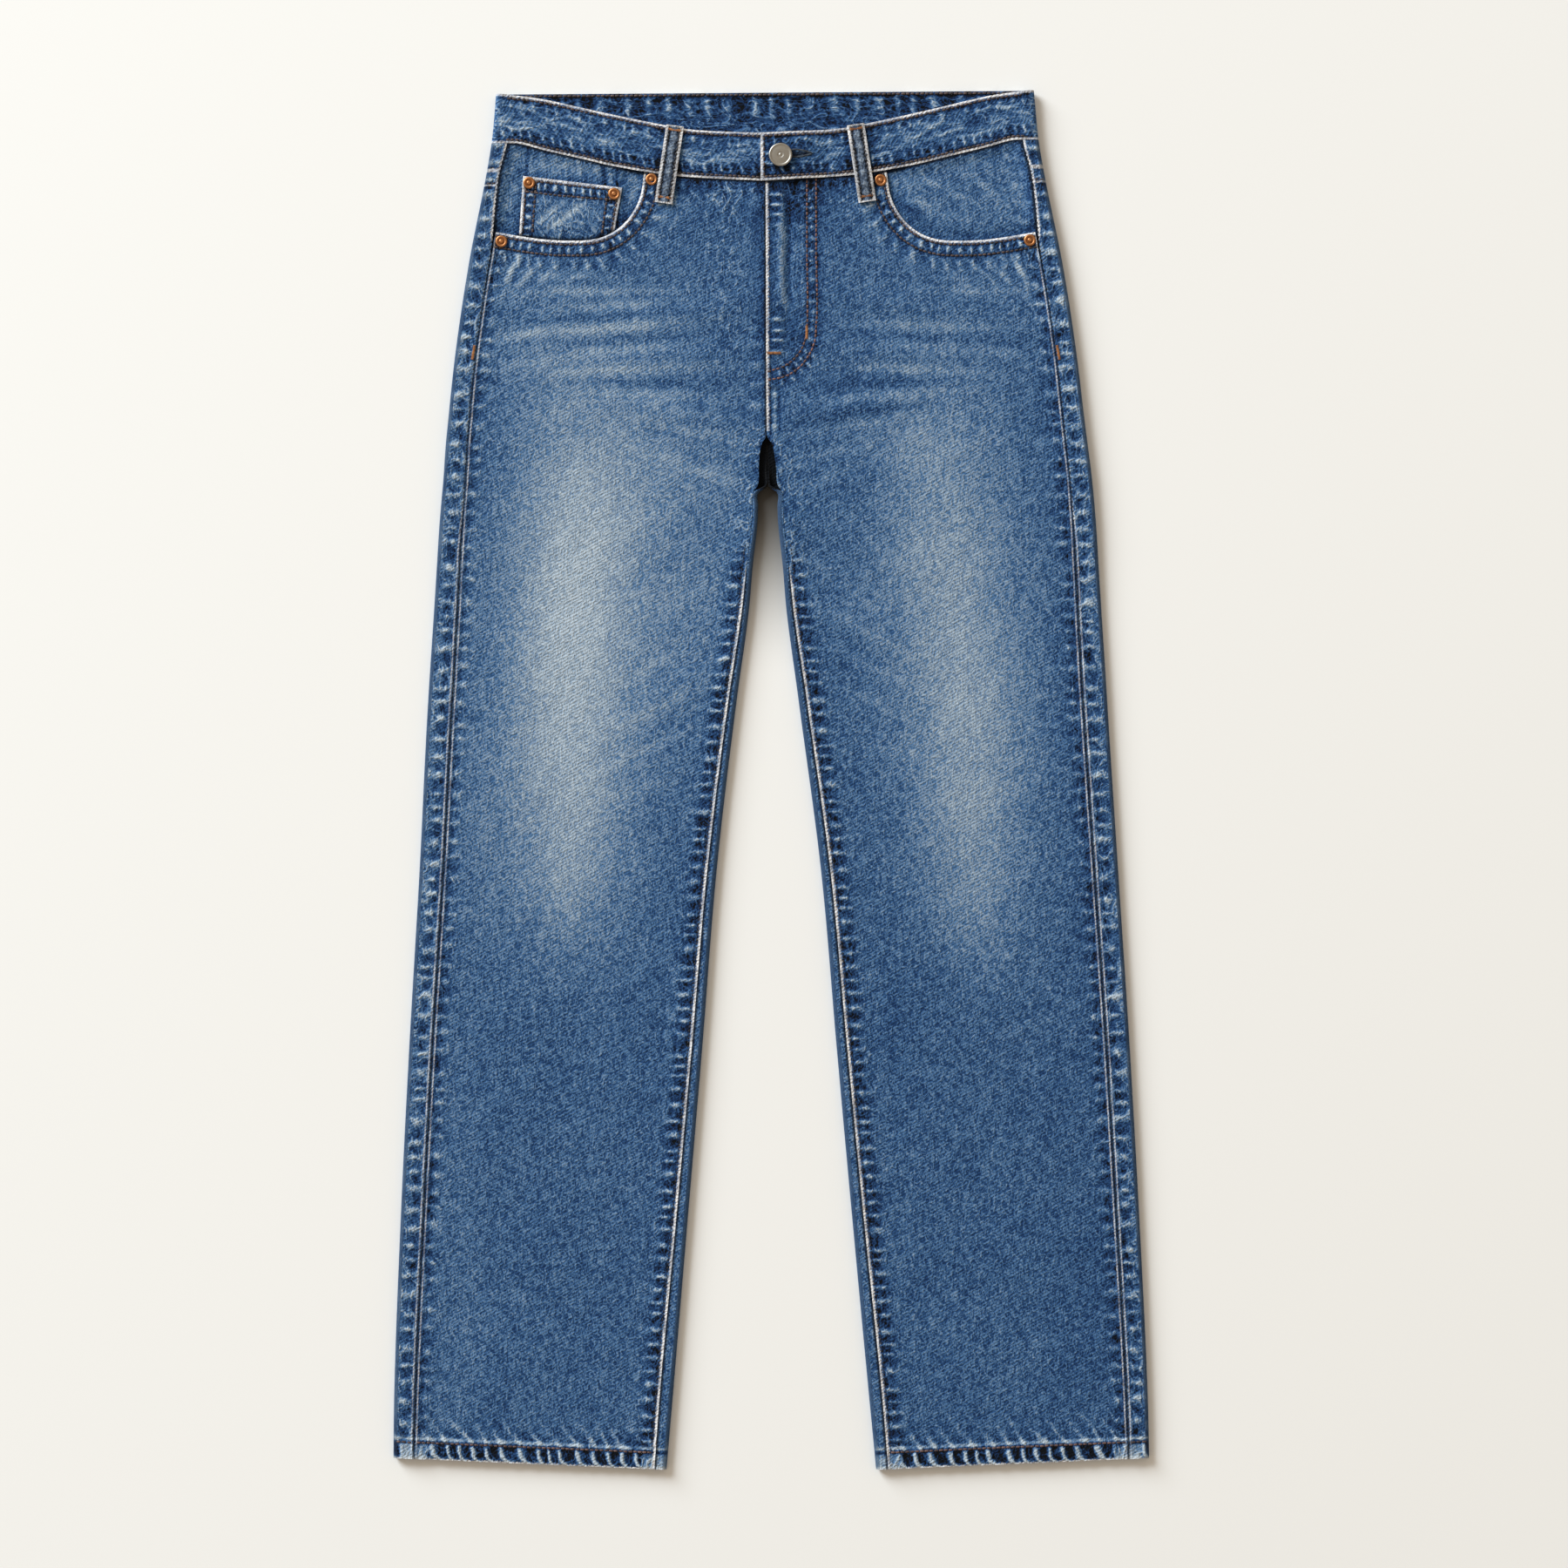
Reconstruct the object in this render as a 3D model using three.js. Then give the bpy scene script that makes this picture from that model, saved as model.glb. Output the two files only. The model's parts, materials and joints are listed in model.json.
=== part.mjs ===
// Straight leg jeans laid flat, front up. Millimetres, +Y towards the waist, +Z up from the surface.
// Heights are measured up from the inner corner of the hem, widths out from the centre line.
// The wearer's right leg lies on -X. Each cloth piece is a wall between an outer and an inner face.
import * as THREE from "three";

const overallLength = 1045.7;
const seamGap = 0.3;
const clothThickness = 1.2;
const bandThickness = 2.4;
const facingThickness = 1.0;
const foldRadius = 3.1;
const hemRise = 8.9;
const hemDepth = 12.5;
const hemEase = 5;
const hemExtra = 0.7;
const waistTilt = 0.007;
const hipLift = 1.5;
const legTop = 5.4;
const hipTop = 6.1;
const crownReach = 16;
const lipEnd = 0.6;
const forkLow = 700;
const forkHigh = 745;
const frontCrotch = 784;

const bandTop = 6.9;
const bandOverlap = 3.6;
const bandUnderlap = 22;
const bandEase = 26;
const bandHeight = 37.6;

const flyWidth = 10;
const flyEase = 7;
const flyRise = 1.2;
const flyFoot = 836;
const flyShoulder = 856;

const loopWidth = 13.4;
const loopThickness = 1.7;
const backLoopThickness = 1.2;
const backLoopLength = 61;
const backLoopSpread = 104;

const backPocketThickness = 1.2;
const buttonDiameter = 17.8;
const buttonHeight = 3.4;
const rivetDiameter = 9.2;
const rivetHeight = 1.7;

const denim = { color: 0x4c6f9f, roughness: 0.85, metalness: 0 };
const darkDenim = { color: 0x33517d, roughness: 0.88, metalness: 0 };
const nickel = { color: 0xb4b2ad, roughness: 0.35, metalness: 1 };
const copper = { color: 0xb0744a, roughness: 0.4, metalness: 1 };

// A short table with named columns becomes one smooth curve for each column against the first.
function table(columns, rows) {
  const curves = {};
  columns.slice(1).forEach((name, k) => {
    const at = rows.map((row) => row[0]);
    const value = rows.map((row) => row[k + 1]);
    curves[name] = (t) => smoothValue(at, value, t);
  });
  return curves;
}

// A cubic through the rows whose slope at a row is the mean of the slopes on both sides.
function smoothValue(at, value, t) {
  const last = at.length - 1;
  if (t <= at[0]) return value[0];
  if (t >= at[last]) return value[last];
  let k = 0;
  while (t > at[k + 1]) k += 1;
  const step = (i) => (value[i + 1] - value[i]) / (at[i + 1] - at[i]);
  const slope = (i) => {
    if (i === 0) return step(0);
    if (i === last) return step(last - 1);
    return step(i - 1) * step(i) <= 0 ? 0 : (step(i - 1) + step(i)) / 2;
  };
  const width = at[k + 1] - at[k];
  const s = (t - at[k]) / width;
  return (
    value[k] * (1 + 2 * s) * (1 - s) ** 2 +
    slope(k) * width * s * (1 - s) ** 2 +
    value[k + 1] * s * s * (3 - 2 * s) +
    slope(k + 1) * width * s * s * (s - 1)
  );
}

// Outline of one half at each height: outer fold, outseam inside it, inner fold of the leg and inseam.
const outline = table(
  ["height", "halfWidth", "outseamInset", "halfGap", "inseam"],
  [
    [0, 286.8, 15.5, 79.5, 88.6],
    [58, 285.8, 16.3, 74.2, 84.0],
    [190, 280.2, 17.4, 62.4, 71.0],
    [322, 273.2, 17.8, 50.8, 58.6],
    [454, 265.0, 18.2, 39.6, 46.6],
    [586, 257.4, 18.6, 23.1, 29.2],
    [652, 253.1, 18.0, 14.2, 19.4],
    [685, 251.0, 17.6, 11.4, 16.0],
    [718, 248.9, 17.2, 7.8, 12.2],
    [731, 247.8, 17.1, 7.3, 11.6],
    [741, 246.9, 16.9, 6.9, 11.0],
    [746, 246.4, 16.8, 0.15, 7.6],
    [762, 244.9, 16.6, 0.15, 6.3],
    [778, 243.3, 16.3, 0.15, 3.6],
    [784, 242.6, 16.2, 0.15, 0.15],
    [850, 235.0, 15.6, 0.15, 0.15],
    [916, 224.8, 15.6, 0.15, 0.15],
    [982, 211.6, 10.2, 0.15, 0.15],
    [1008, 207.3, 12.2, 0.15, 0.15],
    [1046, 203.8, 12.2, 0.15, 0.15],
  ],
);

// The garment leans a little: where its centre line runs.
const centre = table(
  ["height", "x"],
  [
    [0, 0],
    [190, -1.0],
    [454, -1.9],
    [586, -2.8],
    [745, -2.7],
    [782, -3.6],
    [916, -4.3],
    [1046, -4.7],
  ],
);

// How far the inner edge of the back panel curls up (radians), and how high the back lies off the surface.
const crotch = table(
  ["height", "curl"],
  [
    [0, Math.PI],
    [741, Math.PI],
    [747, 2.1],
    [757, 0.9],
    [768, 0.12],
    [1046, 0.12],
  ],
);

const waist = table(
  ["x", "frontTop", "frontSeam"],
  [
    [0, 1013.2, 976.8],
    [60, 1016.6, 980.3],
    [75, 1019.4, 981.9],
    [95, 1023.5, 985.0],
    [120, 1028.9, 989.8],
    [137, 1032.8, 994.0],
    [170, 1040.2, 1001.8],
    [182, 1042.0, 1005.2],
    [190, 1042.9, 1006.6],
    [204, 1044.2, 1006.6],
    [212, 1044.2, 1006.6],
  ],
);
const backTopHeight = 1044.2;
const yokeCentreHeight = 939;
const yokeSideHeight = 979;
const yokeSideX = 211;

// The scooped front pocket mouth, from the waist seam to the outseam.
const pocketMouth = [
  [91.7, 984.4],
  [95.5, 963.5],
  [106.5, 945.5],
  [122, 935.0],
  [143, 931.6],
  [166, 932.4],
  [204.2, 938.0],
];

// Soft ridges across hip and thigh: middle, direction in degrees, reach along and across, height.
const creases = [
  { x: -60, h: 876, turn: 8, along: 62, across: 9, rise: 0.7 },
  { x: -78, h: 842, turn: 4, along: 66, across: 9, rise: 0.6 },
  { x: -66, h: 800, turn: -8, along: 52, across: 9, rise: 0.6 },
  { x: 84, h: 884, turn: -6, along: 60, across: 9, rise: 0.7 },
  { x: 78, h: 846, turn: -2, along: 64, across: 9, rise: 0.6 },
  { x: 62, h: 806, turn: 9, along: 54, across: 9, rise: 0.7 },
  { x: -72, h: 590, turn: 32, along: 42, across: 10, rise: 0.5 },
  { x: 66, h: 640, turn: -30, along: 46, across: 10, rise: 0.6 },
];

const smoothstep = (from, to, t) => THREE.MathUtils.smoothstep(t, from, to);
const mix = THREE.MathUtils.lerp;

// The back pockets hold the hip off the surface; below them the legs lie on it.
const legHeight = 640;
const hipHeight = 760;

function lift(height) {
  return hipLift * smoothstep(legHeight, hipHeight, height);
}

function foldTop(height) {
  return lift(height) + 2 * foldRadius;
}

function crease(x, height) {
  let sum = 0;
  for (const c of creases) {
    const turn = THREE.MathUtils.degToRad(c.turn);
    const dx = x - c.x;
    const dh = height - c.h;
    const along = (dx * Math.cos(turn) + dh * Math.sin(turn)) / c.along;
    const across = (dh * Math.cos(turn) - dx * Math.sin(turn)) / c.across;
    sum += c.rise * Math.exp(-along * along - across * across);
  }
  return sum;
}

// Height of the upper layer's outer face at a distance x from the centre line (side is -1 or 1).
function topZ(side, x, height) {
  const middle = mix(legTop, hipTop, smoothstep(legHeight, hipHeight, height));
  const joined = smoothstep(forkLow, forkHigh, height);
  const outerGap = Math.max(0, outline.halfWidth(height) - foldRadius - x);
  const innerGap = Math.max(0, x - outline.halfGap(height) - foldRadius);
  const outer = Math.exp(-((outerGap / crownReach) ** 2));
  const inner = Math.exp(-((innerGap / crownReach) ** 2)) * (1 - joined);
  const crown = (foldTop(height) - middle) * Math.max(outer, inner);
  const fade = smoothstep(0, crownReach, Math.min(outerGap, innerGap + crownReach * joined));
  const hem = hemExtra * (1 - smoothstep(hemDepth, hemDepth + hemEase, height - hemRow(x)));
  return middle + crown + (crease(side * x, height) + hem) * fade;
}

// Outer face of a front panel: the wearer's left one is thicker along the fly.
function panelZ(side, x, height) {
  const across = 1 - smoothstep(flyWidth, flyWidth + flyEase, x);
  const fly = side > 0 ? flyRise * across * smoothstep(flyFoot, flyShoulder, height) : 0;
  return topZ(side, x, height) + fly;
}

function hemRow(x) {
  const inner = outline.halfGap(0);
  return (hemRise * (x - inner)) / (outline.halfWidth(0) - inner);
}

const tilt = (side, x) => waistTilt * side * x;

function place(side, x, height, z) {
  return [centre.x(height) + side * x, height, z];
}

// A closed wall from a grid of outer points and the matching inner points.
function wall(rows, columns, outerAt, innerAt, mirrored) {
  const positions = [];
  for (const at of [outerAt, innerAt]) {
    for (let j = 0; j < rows; j += 1) {
      for (let i = 0; i < columns; i += 1) positions.push(...at(i, j));
    }
  }
  const inside = rows * columns;
  const index = [];
  const quad = (a, b, c, d) => {
    if (mirrored) index.push(a, c, b, a, d, c);
    else index.push(a, b, c, a, c, d);
  };
  for (let j = 0; j + 1 < rows; j += 1) {
    for (let i = 0; i + 1 < columns; i += 1) {
      const a = j * columns + i;
      const b = a + 1;
      const c = b + columns;
      const d = a + columns;
      quad(a, b, c, d);
      quad(inside + a, inside + d, inside + c, inside + b);
    }
  }
  const edge = (a, b) => quad(b, a, inside + a, inside + b);
  for (let i = 0; i + 1 < columns; i += 1) {
    edge(i, i + 1);
    edge((rows - 1) * columns + i + 1, (rows - 1) * columns + i);
  }
  for (let j = 0; j + 1 < rows; j += 1) {
    edge((j + 1) * columns, j * columns);
    edge(j * columns + columns - 1, (j + 1) * columns + columns - 1);
  }
  const geometry = new THREE.BufferGeometry();
  geometry.setAttribute("position", new THREE.Float32BufferAttribute(positions, 3));
  geometry.setIndex(index);
  geometry.computeVertexNormals();
  return geometry;
}

const jeans = new THREE.Group();

function add(name, geometry, finish) {
  const mesh = new THREE.Mesh(geometry, new THREE.MeshStandardMaterial(finish));
  mesh.name = name;
  jeans.add(mesh);
  return mesh;
}

const sides = [
  { name: "right", side: -1 },
  { name: "left", side: 1 },
];

function evenly(from, to, count) {
  return Array.from({ length: count }, (_, k) => mix(from, to, k / (count - 1)));
}

// Back of the garment: inner lip, inner fold, the layer on the surface, outer fold, outer lip.
const foldSteps = 6;
const floorSteps = 7;
const backPath = [
  { zone: "innerLip", t: 0 },
  { zone: "innerLip", t: 0.5 },
  ...evenly(1, 0, foldSteps).map((t) => ({ zone: "innerFold", t })),
  ...evenly(0, 1, floorSteps).slice(1, -1).map((t) => ({ zone: "floor", t })),
  ...evenly(0, 1, foldSteps).map((t) => ({ zone: "outerFold", t })),
  { zone: "outerLip", t: 0.5 },
  { zone: "outerLip", t: 1 },
];

function outerSeam(height) {
  return outline.halfWidth(height) - outline.outseamInset(height);
}

function panelEdge(height) {
  return outerSeam(height) - seamGap / 2;
}

// Outer point of the back at one height, and the direction from it to the inner face, in x and z.
function backPoint(side, node, height) {
  const curl = crotch.curl(height);
  const low = lift(height);
  const reach = foldRadius * Math.sin(Math.min(curl, Math.PI / 2)) + lipEnd * Math.max(0, Math.cos(curl));
  const floorStart = outline.halfGap(height) + reach;
  const floorEnd = outline.halfWidth(height) - foldRadius;
  if (node.zone === "floor") {
    return { x: mix(floorStart, floorEnd, node.t), z: low, inX: 0, inZ: 1 };
  }
  if (node.zone === "innerFold") {
    const a = node.t * curl;
    const x = floorStart - foldRadius * Math.sin(a);
    return { x, z: low + foldRadius * (1 - Math.cos(a)), inX: Math.sin(a), inZ: Math.cos(a) };
  }
  if (node.zone === "outerFold") {
    const a = node.t * Math.PI;
    const x = floorEnd + foldRadius * Math.sin(a);
    return { x, z: low + foldRadius * (1 - Math.cos(a)), inX: -Math.sin(a), inZ: Math.cos(a) };
  }
  if (node.zone === "outerLip") {
    const x = mix(floorEnd, outerSeam(height) + seamGap / 2, node.t);
    return { x, z: topZ(side, x, height), inX: 0, inZ: -1 };
  }
  const folded = smoothstep(2.9, Math.PI, curl);
  const seam = outline.inseam(height) - seamGap / 2;
  const length = mix(lipEnd, seam - floorStart, folded) * (1 - node.t);
  const x = floorStart - foldRadius * Math.sin(curl) - length * Math.cos(curl);
  const straight = low + foldRadius * (1 - Math.cos(curl)) + length * Math.sin(curl);
  const z = mix(straight, topZ(side, x, height), folded);
  return { x, z, inX: Math.sin(curl), inZ: Math.cos(curl) };
}

// One stretch of the back between a lower and an upper edge, each a height for a distance from the centre.
function backWall(side, shares, lowerEdge, upperEdge) {
  const at = (depth) => (i, j) => {
    const guess = backPoint(side, backPath[i], mix(lowerEdge(0), upperEdge(0), shares[j])).x;
    const height = mix(lowerEdge(guess), upperEdge(guess), shares[j]);
    const p = backPoint(side, backPath[i], height);
    return place(side, p.x + p.inX * depth, height, p.z + p.inZ * depth);
  };
  return wall(shares.length, backPath.length, at(0), at(clothThickness), side > 0);
}

const yokeSeam = (x) => mix(yokeCentreHeight, yokeSideHeight, Math.min(1, x / yokeSideX));
const backLevels = [
  0, 12.4, 18, 100, 190, 290, 390, 470, 545, 600, 650, 690,
  715, 731, 741, 743, 746, 751, 757, 768, 790, 830, 880,
];
const backShares = [...backLevels, yokeCentreHeight].map((level) => level / yokeCentreHeight);

for (const { name, side } of sides) {
  const panelTop = (x) => yokeSeam(x) - seamGap / 2;
  const yokeLow = (x) => yokeSeam(x) + seamGap / 2;
  const yokeTop = (x) => backTopHeight - bandHeight + tilt(side, x) - seamGap / 2;
  add(`back_panel_${name}`, backWall(side, backShares, hemRow, panelTop), denim);
  add(`back_yoke_${name}`, backWall(side, evenly(0, 1, 4), yokeLow, yokeTop), denim);
}

// Points spaced evenly by length along a smooth curve through a few places.
function spaced(points, count) {
  const curve = new THREE.CatmullRomCurve3(points.map(([x, h]) => new THREE.Vector3(x, h, 0)));
  return curve.getSpacedPoints(count - 1).map((p) => [p.x, p.y]);
}

const panelTopEdge = (side, x) => waist.frontSeam(x) + tilt(side, x) - seamGap;
const mouthTopX = pocketMouth[0][0];
const mouthCount = 12;
const waistCount = 7;
const frontLevels = [
  0, 12.4, 18, 100, 190, 290, 390, 470, 545, 590, 640, 690, 718,
  731, 741, 746, 762, 778, 784, 800, 815, 830, 845, 860, 876, 892,
];
const frontUpperRows = 4;

// Front panel: rows across the leg up to the hip, then lines fanning to the waist seam and pocket mouth.
function frontWall(side) {
  const onWaist = evenly(seamGap / 2, mouthTopX, waistCount).map((x) => [x, panelTopEdge(side, x)]);
  const topEdge = [...onWaist, ...spaced(pocketMouth, mouthCount).slice(1)];
  const levels = frontLevels.length;
  const across = (i, height) => {
    const inner = outline.inseam(height) + (height < frontCrotch ? seamGap / 2 : 0);
    return mix(inner, panelEdge(height), i / (topEdge.length - 1));
  };
  const row = (i, level) => {
    const height = level + hemRow(across(i, level)) * (1 - level / yokeCentreHeight);
    return [across(i, height), height];
  };
  const plan = (i, j) => {
    if (j < levels) return row(i, frontLevels[j]);
    const share = (j - levels + 1) / frontUpperRows;
    const low = row(i, frontLevels[levels - 1]);
    return [mix(low[0], topEdge[i][0], share), mix(low[1], topEdge[i][1], share)];
  };
  const at = (depth) => (i, j) => {
    const [x, height] = plan(i, j);
    return place(side, x, height, panelZ(side, x, height) - depth);
  };
  return wall(levels + frontUpperRows, topEdge.length, at(0), at(clothThickness), side < 0);
}

for (const { name, side } of sides) add(`front_panel_${name}`, frontWall(side), denim);

// Pocket facing: the cloth behind the mouth, one layer down under the panel and flush at its outer seams.
const mouthRows = table(["x", "height"], pocketMouth);
const facingSide = 930;
const facingTop = 1002;
const facingUnderlap = 6;
const facingLow = [
  [mouthTopX - facingUnderlap, 956],
  [97, 939],
  [116, 927],
  [143, 924],
  [166, 925],
  [panelEdge(facingSide), facingSide],
];

const facingColumns = 11;
const facingRows = 8;
const facingLowEdge = spaced(facingLow, facingColumns);
const facingOuterTop = panelEdge(facingTop);

// The facing rises to the panel's level along its seams, away from the mouth.
const mouthEase = { below: [3, 11], beside: [8, 20] };
const seamEase = 9;

// Straight lines from the low edge to the waist seam, bent to follow the outseam at the side.
function facingPlan(side, column, v) {
  const u = column / (facingColumns - 1);
  const low = facingLowEdge[column];
  const topX = mix(facingLow[0][0], facingOuterTop, u);
  const outerHeight = mix(facingSide, panelTopEdge(side, facingOuterTop), v);
  const outerX = mix(panelEdge(facingSide), facingOuterTop, v);
  const bend = u * u * (panelEdge(outerHeight) - outerX);
  return [mix(low[0], topX, v) + bend, mix(low[1], panelTopEdge(side, topX), v)];
}

function facingZ(side, x, height) {
  const toSeam = Math.min(outerSeam(height) - x, panelTopEdge(side, x) - height);
  const above = smoothstep(...mouthEase.below, height - mouthRows.height(x));
  const beside = smoothstep(...mouthEase.beside, x - mouthTopX);
  const flush = above * beside * (1 - smoothstep(0, seamEase, toSeam));
  return topZ(side, x, height) - (clothThickness + seamGap) * (1 - flush);
}

function facingWall(side) {
  const at = (depth) => (i, j) => {
    const [x, height] = facingPlan(side, i, j / (facingRows - 1));
    return place(side, x, height, facingZ(side, x, height) - depth);
  };
  return wall(facingRows, facingColumns, at(0), at(facingThickness), side < 0);
}

for (const { name, side } of sides) add(`pocket_facing_${name}`, facingWall(side), darkDenim);

// Coin pocket: only on the wearer's right, on the facing's own points moved out, down to the mouth.
const coinTop = { inner: [108.5, 971.9], outer: [183.7, 980.8] };
const coinLow = { inner: 115.1, outer: 187.0 };
const coinMargin = 1.2;

const coinColumns = 9;
const coinRows = 5;

function coinWall() {
  const at = (depth) => (i, j) => {
    const u = i / (coinColumns - 1);
    const v = j / (coinRows - 1);
    const lowX = mix(coinLow.inner, coinLow.outer, u);
    const lowHeight = mouthRows.height(lowX) + coinMargin;
    const x = mix(lowX, mix(coinTop.inner[0], coinTop.outer[0], u), v);
    const height = mix(lowHeight, mix(coinTop.inner[1], coinTop.outer[1], u), v);
    return place(-1, x, height, facingZ(-1, x, height) + seamGap + facingThickness - depth);
  };
  return wall(coinRows, coinColumns, at(0), at(facingThickness), true);
}

add("coin_pocket", coinWall(), denim);

// Waistband: one strip from the buttonhole end round the back to the end under the button.
const bandFoldRadius = 3.0;
const bandMiddle = 1025;
const bandFrontEnd = 200;
const bandMargin = 2;
const bandPath = [
  ...evenly(-bandOverlap, bandFrontEnd, 27).map((x) => ({ zone: "front", side: 1, x })),
  ...evenly(0, 1, 7).map((t) => ({ zone: "fold", side: 1, t })),
  ...evenly(1, -1, 13).slice(1, -1).map((t) => ({ zone: "back", side: Math.sign(t) || 1, t: Math.abs(t) })),
  ...evenly(1, 0, 7).map((t) => ({ zone: "fold", side: -1, t })),
  ...evenly(bandFrontEnd, -bandUnderlap, 29).map((x) => ({ zone: "front", side: -1, x })),
];

function bandEnd(height) {
  return outline.halfWidth(height) - bandFoldRadius;
}

function bandZ(side, x) {
  const rise = hipLift + 2 * bandFoldRadius - bandTop;
  const crown = rise * Math.exp(-(((bandEnd(bandMiddle) - x) / crownReach) ** 2));
  const overEnd = bandUnderlap + bandMargin;
  const over = 1 - smoothstep(overEnd, overEnd + bandEase, x);
  return bandTop + crown + (side > 0 ? (bandThickness + seamGap) * over : 0);
}

function bandPoint(node, v) {
  const x = node.zone === "front" ? Math.abs(node.x) : bandEnd(bandMiddle);
  const low = waist.frontSeam(x) + tilt(node.side, node.x ?? x) + seamGap / 2;
  const high = waist.frontTop(x) + tilt(node.side, node.x ?? x);
  if (node.zone === "front") {
    const height = mix(low, high, v);
    const shift = node.x === bandFrontEnd ? bandEnd(height) - bandEnd(bandMiddle) : 0;
    return { side: node.side, x: node.x + shift, height, z: bandZ(node.side, node.x), inX: 0, inZ: -1 };
  }
  if (node.zone === "fold") {
    const a = node.t * Math.PI;
    const height = mix(low, high, v);
    return {
      side: node.side,
      x: bandEnd(height) + bandFoldRadius * Math.sin(a),
      height,
      z: hipLift + bandFoldRadius * (1 + Math.cos(a)),
      inX: -Math.sin(a),
      inZ: -Math.cos(a),
    };
  }
  const across = node.t * bandEnd(bandMiddle);
  const height = backTopHeight + tilt(node.side, across) - bandHeight * (1 - v) + (seamGap / 2) * (1 - v);
  return { side: node.side, x: node.t * bandEnd(height), height, z: hipLift, inX: 0, inZ: 1 };
}

const bandRows = 4;
const bandAt = (depth) => (i, j) => {
  const p = bandPoint(bandPath[i], j / (bandRows - 1));
  return place(p.side, p.x + p.inX * depth, p.height, p.z + p.inZ * depth);
};
add("waistband", wall(bandRows, bandPath.length, bandAt(0), bandAt(bandThickness), false), denim);

// Front belt loops lie over the waistband and run onto the panel below it.
const frontLoop = { top: [68.3, 1018.9], low: [77.2, 960.4] };
const loopStep = { from: -15, to: -7 };
const loopRows = 11;
const loopColumns = 3;

function frontLoopWall(side) {
  const run = [frontLoop.low[0] - frontLoop.top[0], frontLoop.low[1] - frontLoop.top[1]];
  const length = Math.hypot(...run);
  const at = (depth) => (i, j) => {
    const t = 1 - j / (loopRows - 1);
    const offset = (i / (loopColumns - 1) - 0.5) * loopWidth;
    const x = frontLoop.top[0] + run[0] * t - (run[1] / length) * offset;
    const height = frontLoop.top[1] + run[1] * t + (run[0] / length) * offset + tilt(side, x);
    const onBand = smoothstep(loopStep.from, loopStep.to, height - waist.frontSeam(x) - tilt(side, x));
    const rest = mix(panelZ(side, x, height), bandZ(side, x), onBand);
    return place(side, x, height, rest + seamGap + loopThickness - depth);
  };
  return wall(loopRows, loopColumns, at(0), at(loopThickness), side < 0);
}

for (const { name, side } of sides) add(`belt_loop_front_${name}`, frontLoopWall(side), denim);

// A flat plate from a plan outline: extruded up from a height.
function plate(name, points, low, thickness, finish) {
  const shape = new THREE.Shape(points.map(([x, y]) => new THREE.Vector2(x, y)));
  const geometry = new THREE.ExtrudeGeometry(shape, { depth: thickness, bevelEnabled: false });
  add(name, geometry, finish).position.z = low;
}

const backLoopMiddle = 1010;
const backLoopMargin = 1;
const backLoops = [
  { name: "right", x: -backLoopSpread },
  { name: "centre", x: 0 },
  { name: "left", x: backLoopSpread },
];
for (const { name, x } of backLoops) {
  const mid = x + centre.x(backLoopMiddle);
  const high = backTopHeight + waistTilt * x - backLoopMargin;
  const half = loopWidth / 2;
  const corners = [
    [mid - half, high - backLoopLength],
    [mid + half, high - backLoopLength],
    [mid + half, high],
    [mid - half, high],
  ];
  plate(`belt_loop_back_${name}`, corners, 0, backLoopThickness, denim);
}

// Back pockets: five sides, flat on the surface under the back panels.
const pocketOutline = [
  [-75, 0],
  [-64, -126],
  [0, -157],
  [64, -126],
  [75, 0],
];
const pocketPlace = { x: 106, height: 930, middle: 850, turn: 0.06 };

for (const { name, side } of sides) {
  const turn = side * pocketPlace.turn;
  const corners = pocketOutline.map(([px, py]) => [
    centre.x(pocketPlace.middle) + side * pocketPlace.x + px * Math.cos(turn) - py * Math.sin(turn),
    pocketPlace.height + px * Math.sin(turn) + py * Math.cos(turn),
  ]);
  plate(`back_pocket_${name}`, corners, 0, backPocketThickness, denim);
}

// Round metal: a profile of radius and height, turned about the vertical.
function turned(name, profile, segments, side, x, height, low, finish) {
  const geometry = new THREE.LatheGeometry(profile.map(([r, h]) => new THREE.Vector2(r, h)), segments);
  geometry.rotateX(Math.PI / 2);
  add(name, geometry, finish).position.set(...place(side, x, height, low));
}

const buttonPlace = { x: 11.5, height: 995.9 };
const buttonSegments = 32;
const rivetSegments = 18;
const buttonRadius = buttonDiameter / 2;
const buttonProfile = [
  [0, 0],
  [buttonRadius * 0.45, 0],
  [buttonRadius * 0.45, buttonHeight * 0.35],
  [buttonRadius * 0.93, buttonHeight * 0.45],
  [buttonRadius, buttonHeight * 0.7],
  [buttonRadius * 0.94, buttonHeight * 0.95],
  [buttonRadius * 0.82, buttonHeight],
  [buttonRadius * 0.7, buttonHeight * 0.86],
  [0, buttonHeight * 0.94],
];
const buttonLow = bandZ(1, buttonPlace.x) + seamGap;
turned("button", buttonProfile, buttonSegments, 1, buttonPlace.x, buttonPlace.height, buttonLow, nickel);

const rivetRadius = rivetDiameter / 2;
const rivetProfile = [
  [0, 0],
  [rivetRadius, 0],
  [rivetRadius, rivetHeight * 0.3],
  [rivetRadius * 0.78, rivetHeight * 0.62],
  [rivetRadius * 0.42, rivetHeight * 0.5],
  [rivetRadius * 0.3, rivetHeight],
  [0, rivetHeight],
];
const rivets = [
  { name: "rivet_right_mouth_top", side: -1, x: 86.3, height: 978.1, on: panelZ },
  { name: "rivet_right_mouth_side", side: -1, x: 200.2, height: 931.0, on: panelZ },
  { name: "rivet_coin_outer", side: -1, x: 179.2, height: 975.5, on: facingZ },
  { name: "rivet_coin_inner", side: -1, x: 114.7, height: 967.2, on: facingZ },
  { name: "rivet_left_mouth_top", side: 1, x: 87.3, height: 977.5, on: panelZ },
  { name: "rivet_left_mouth_side", side: 1, x: 200.2, height: 931.9, on: panelZ },
];
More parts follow.
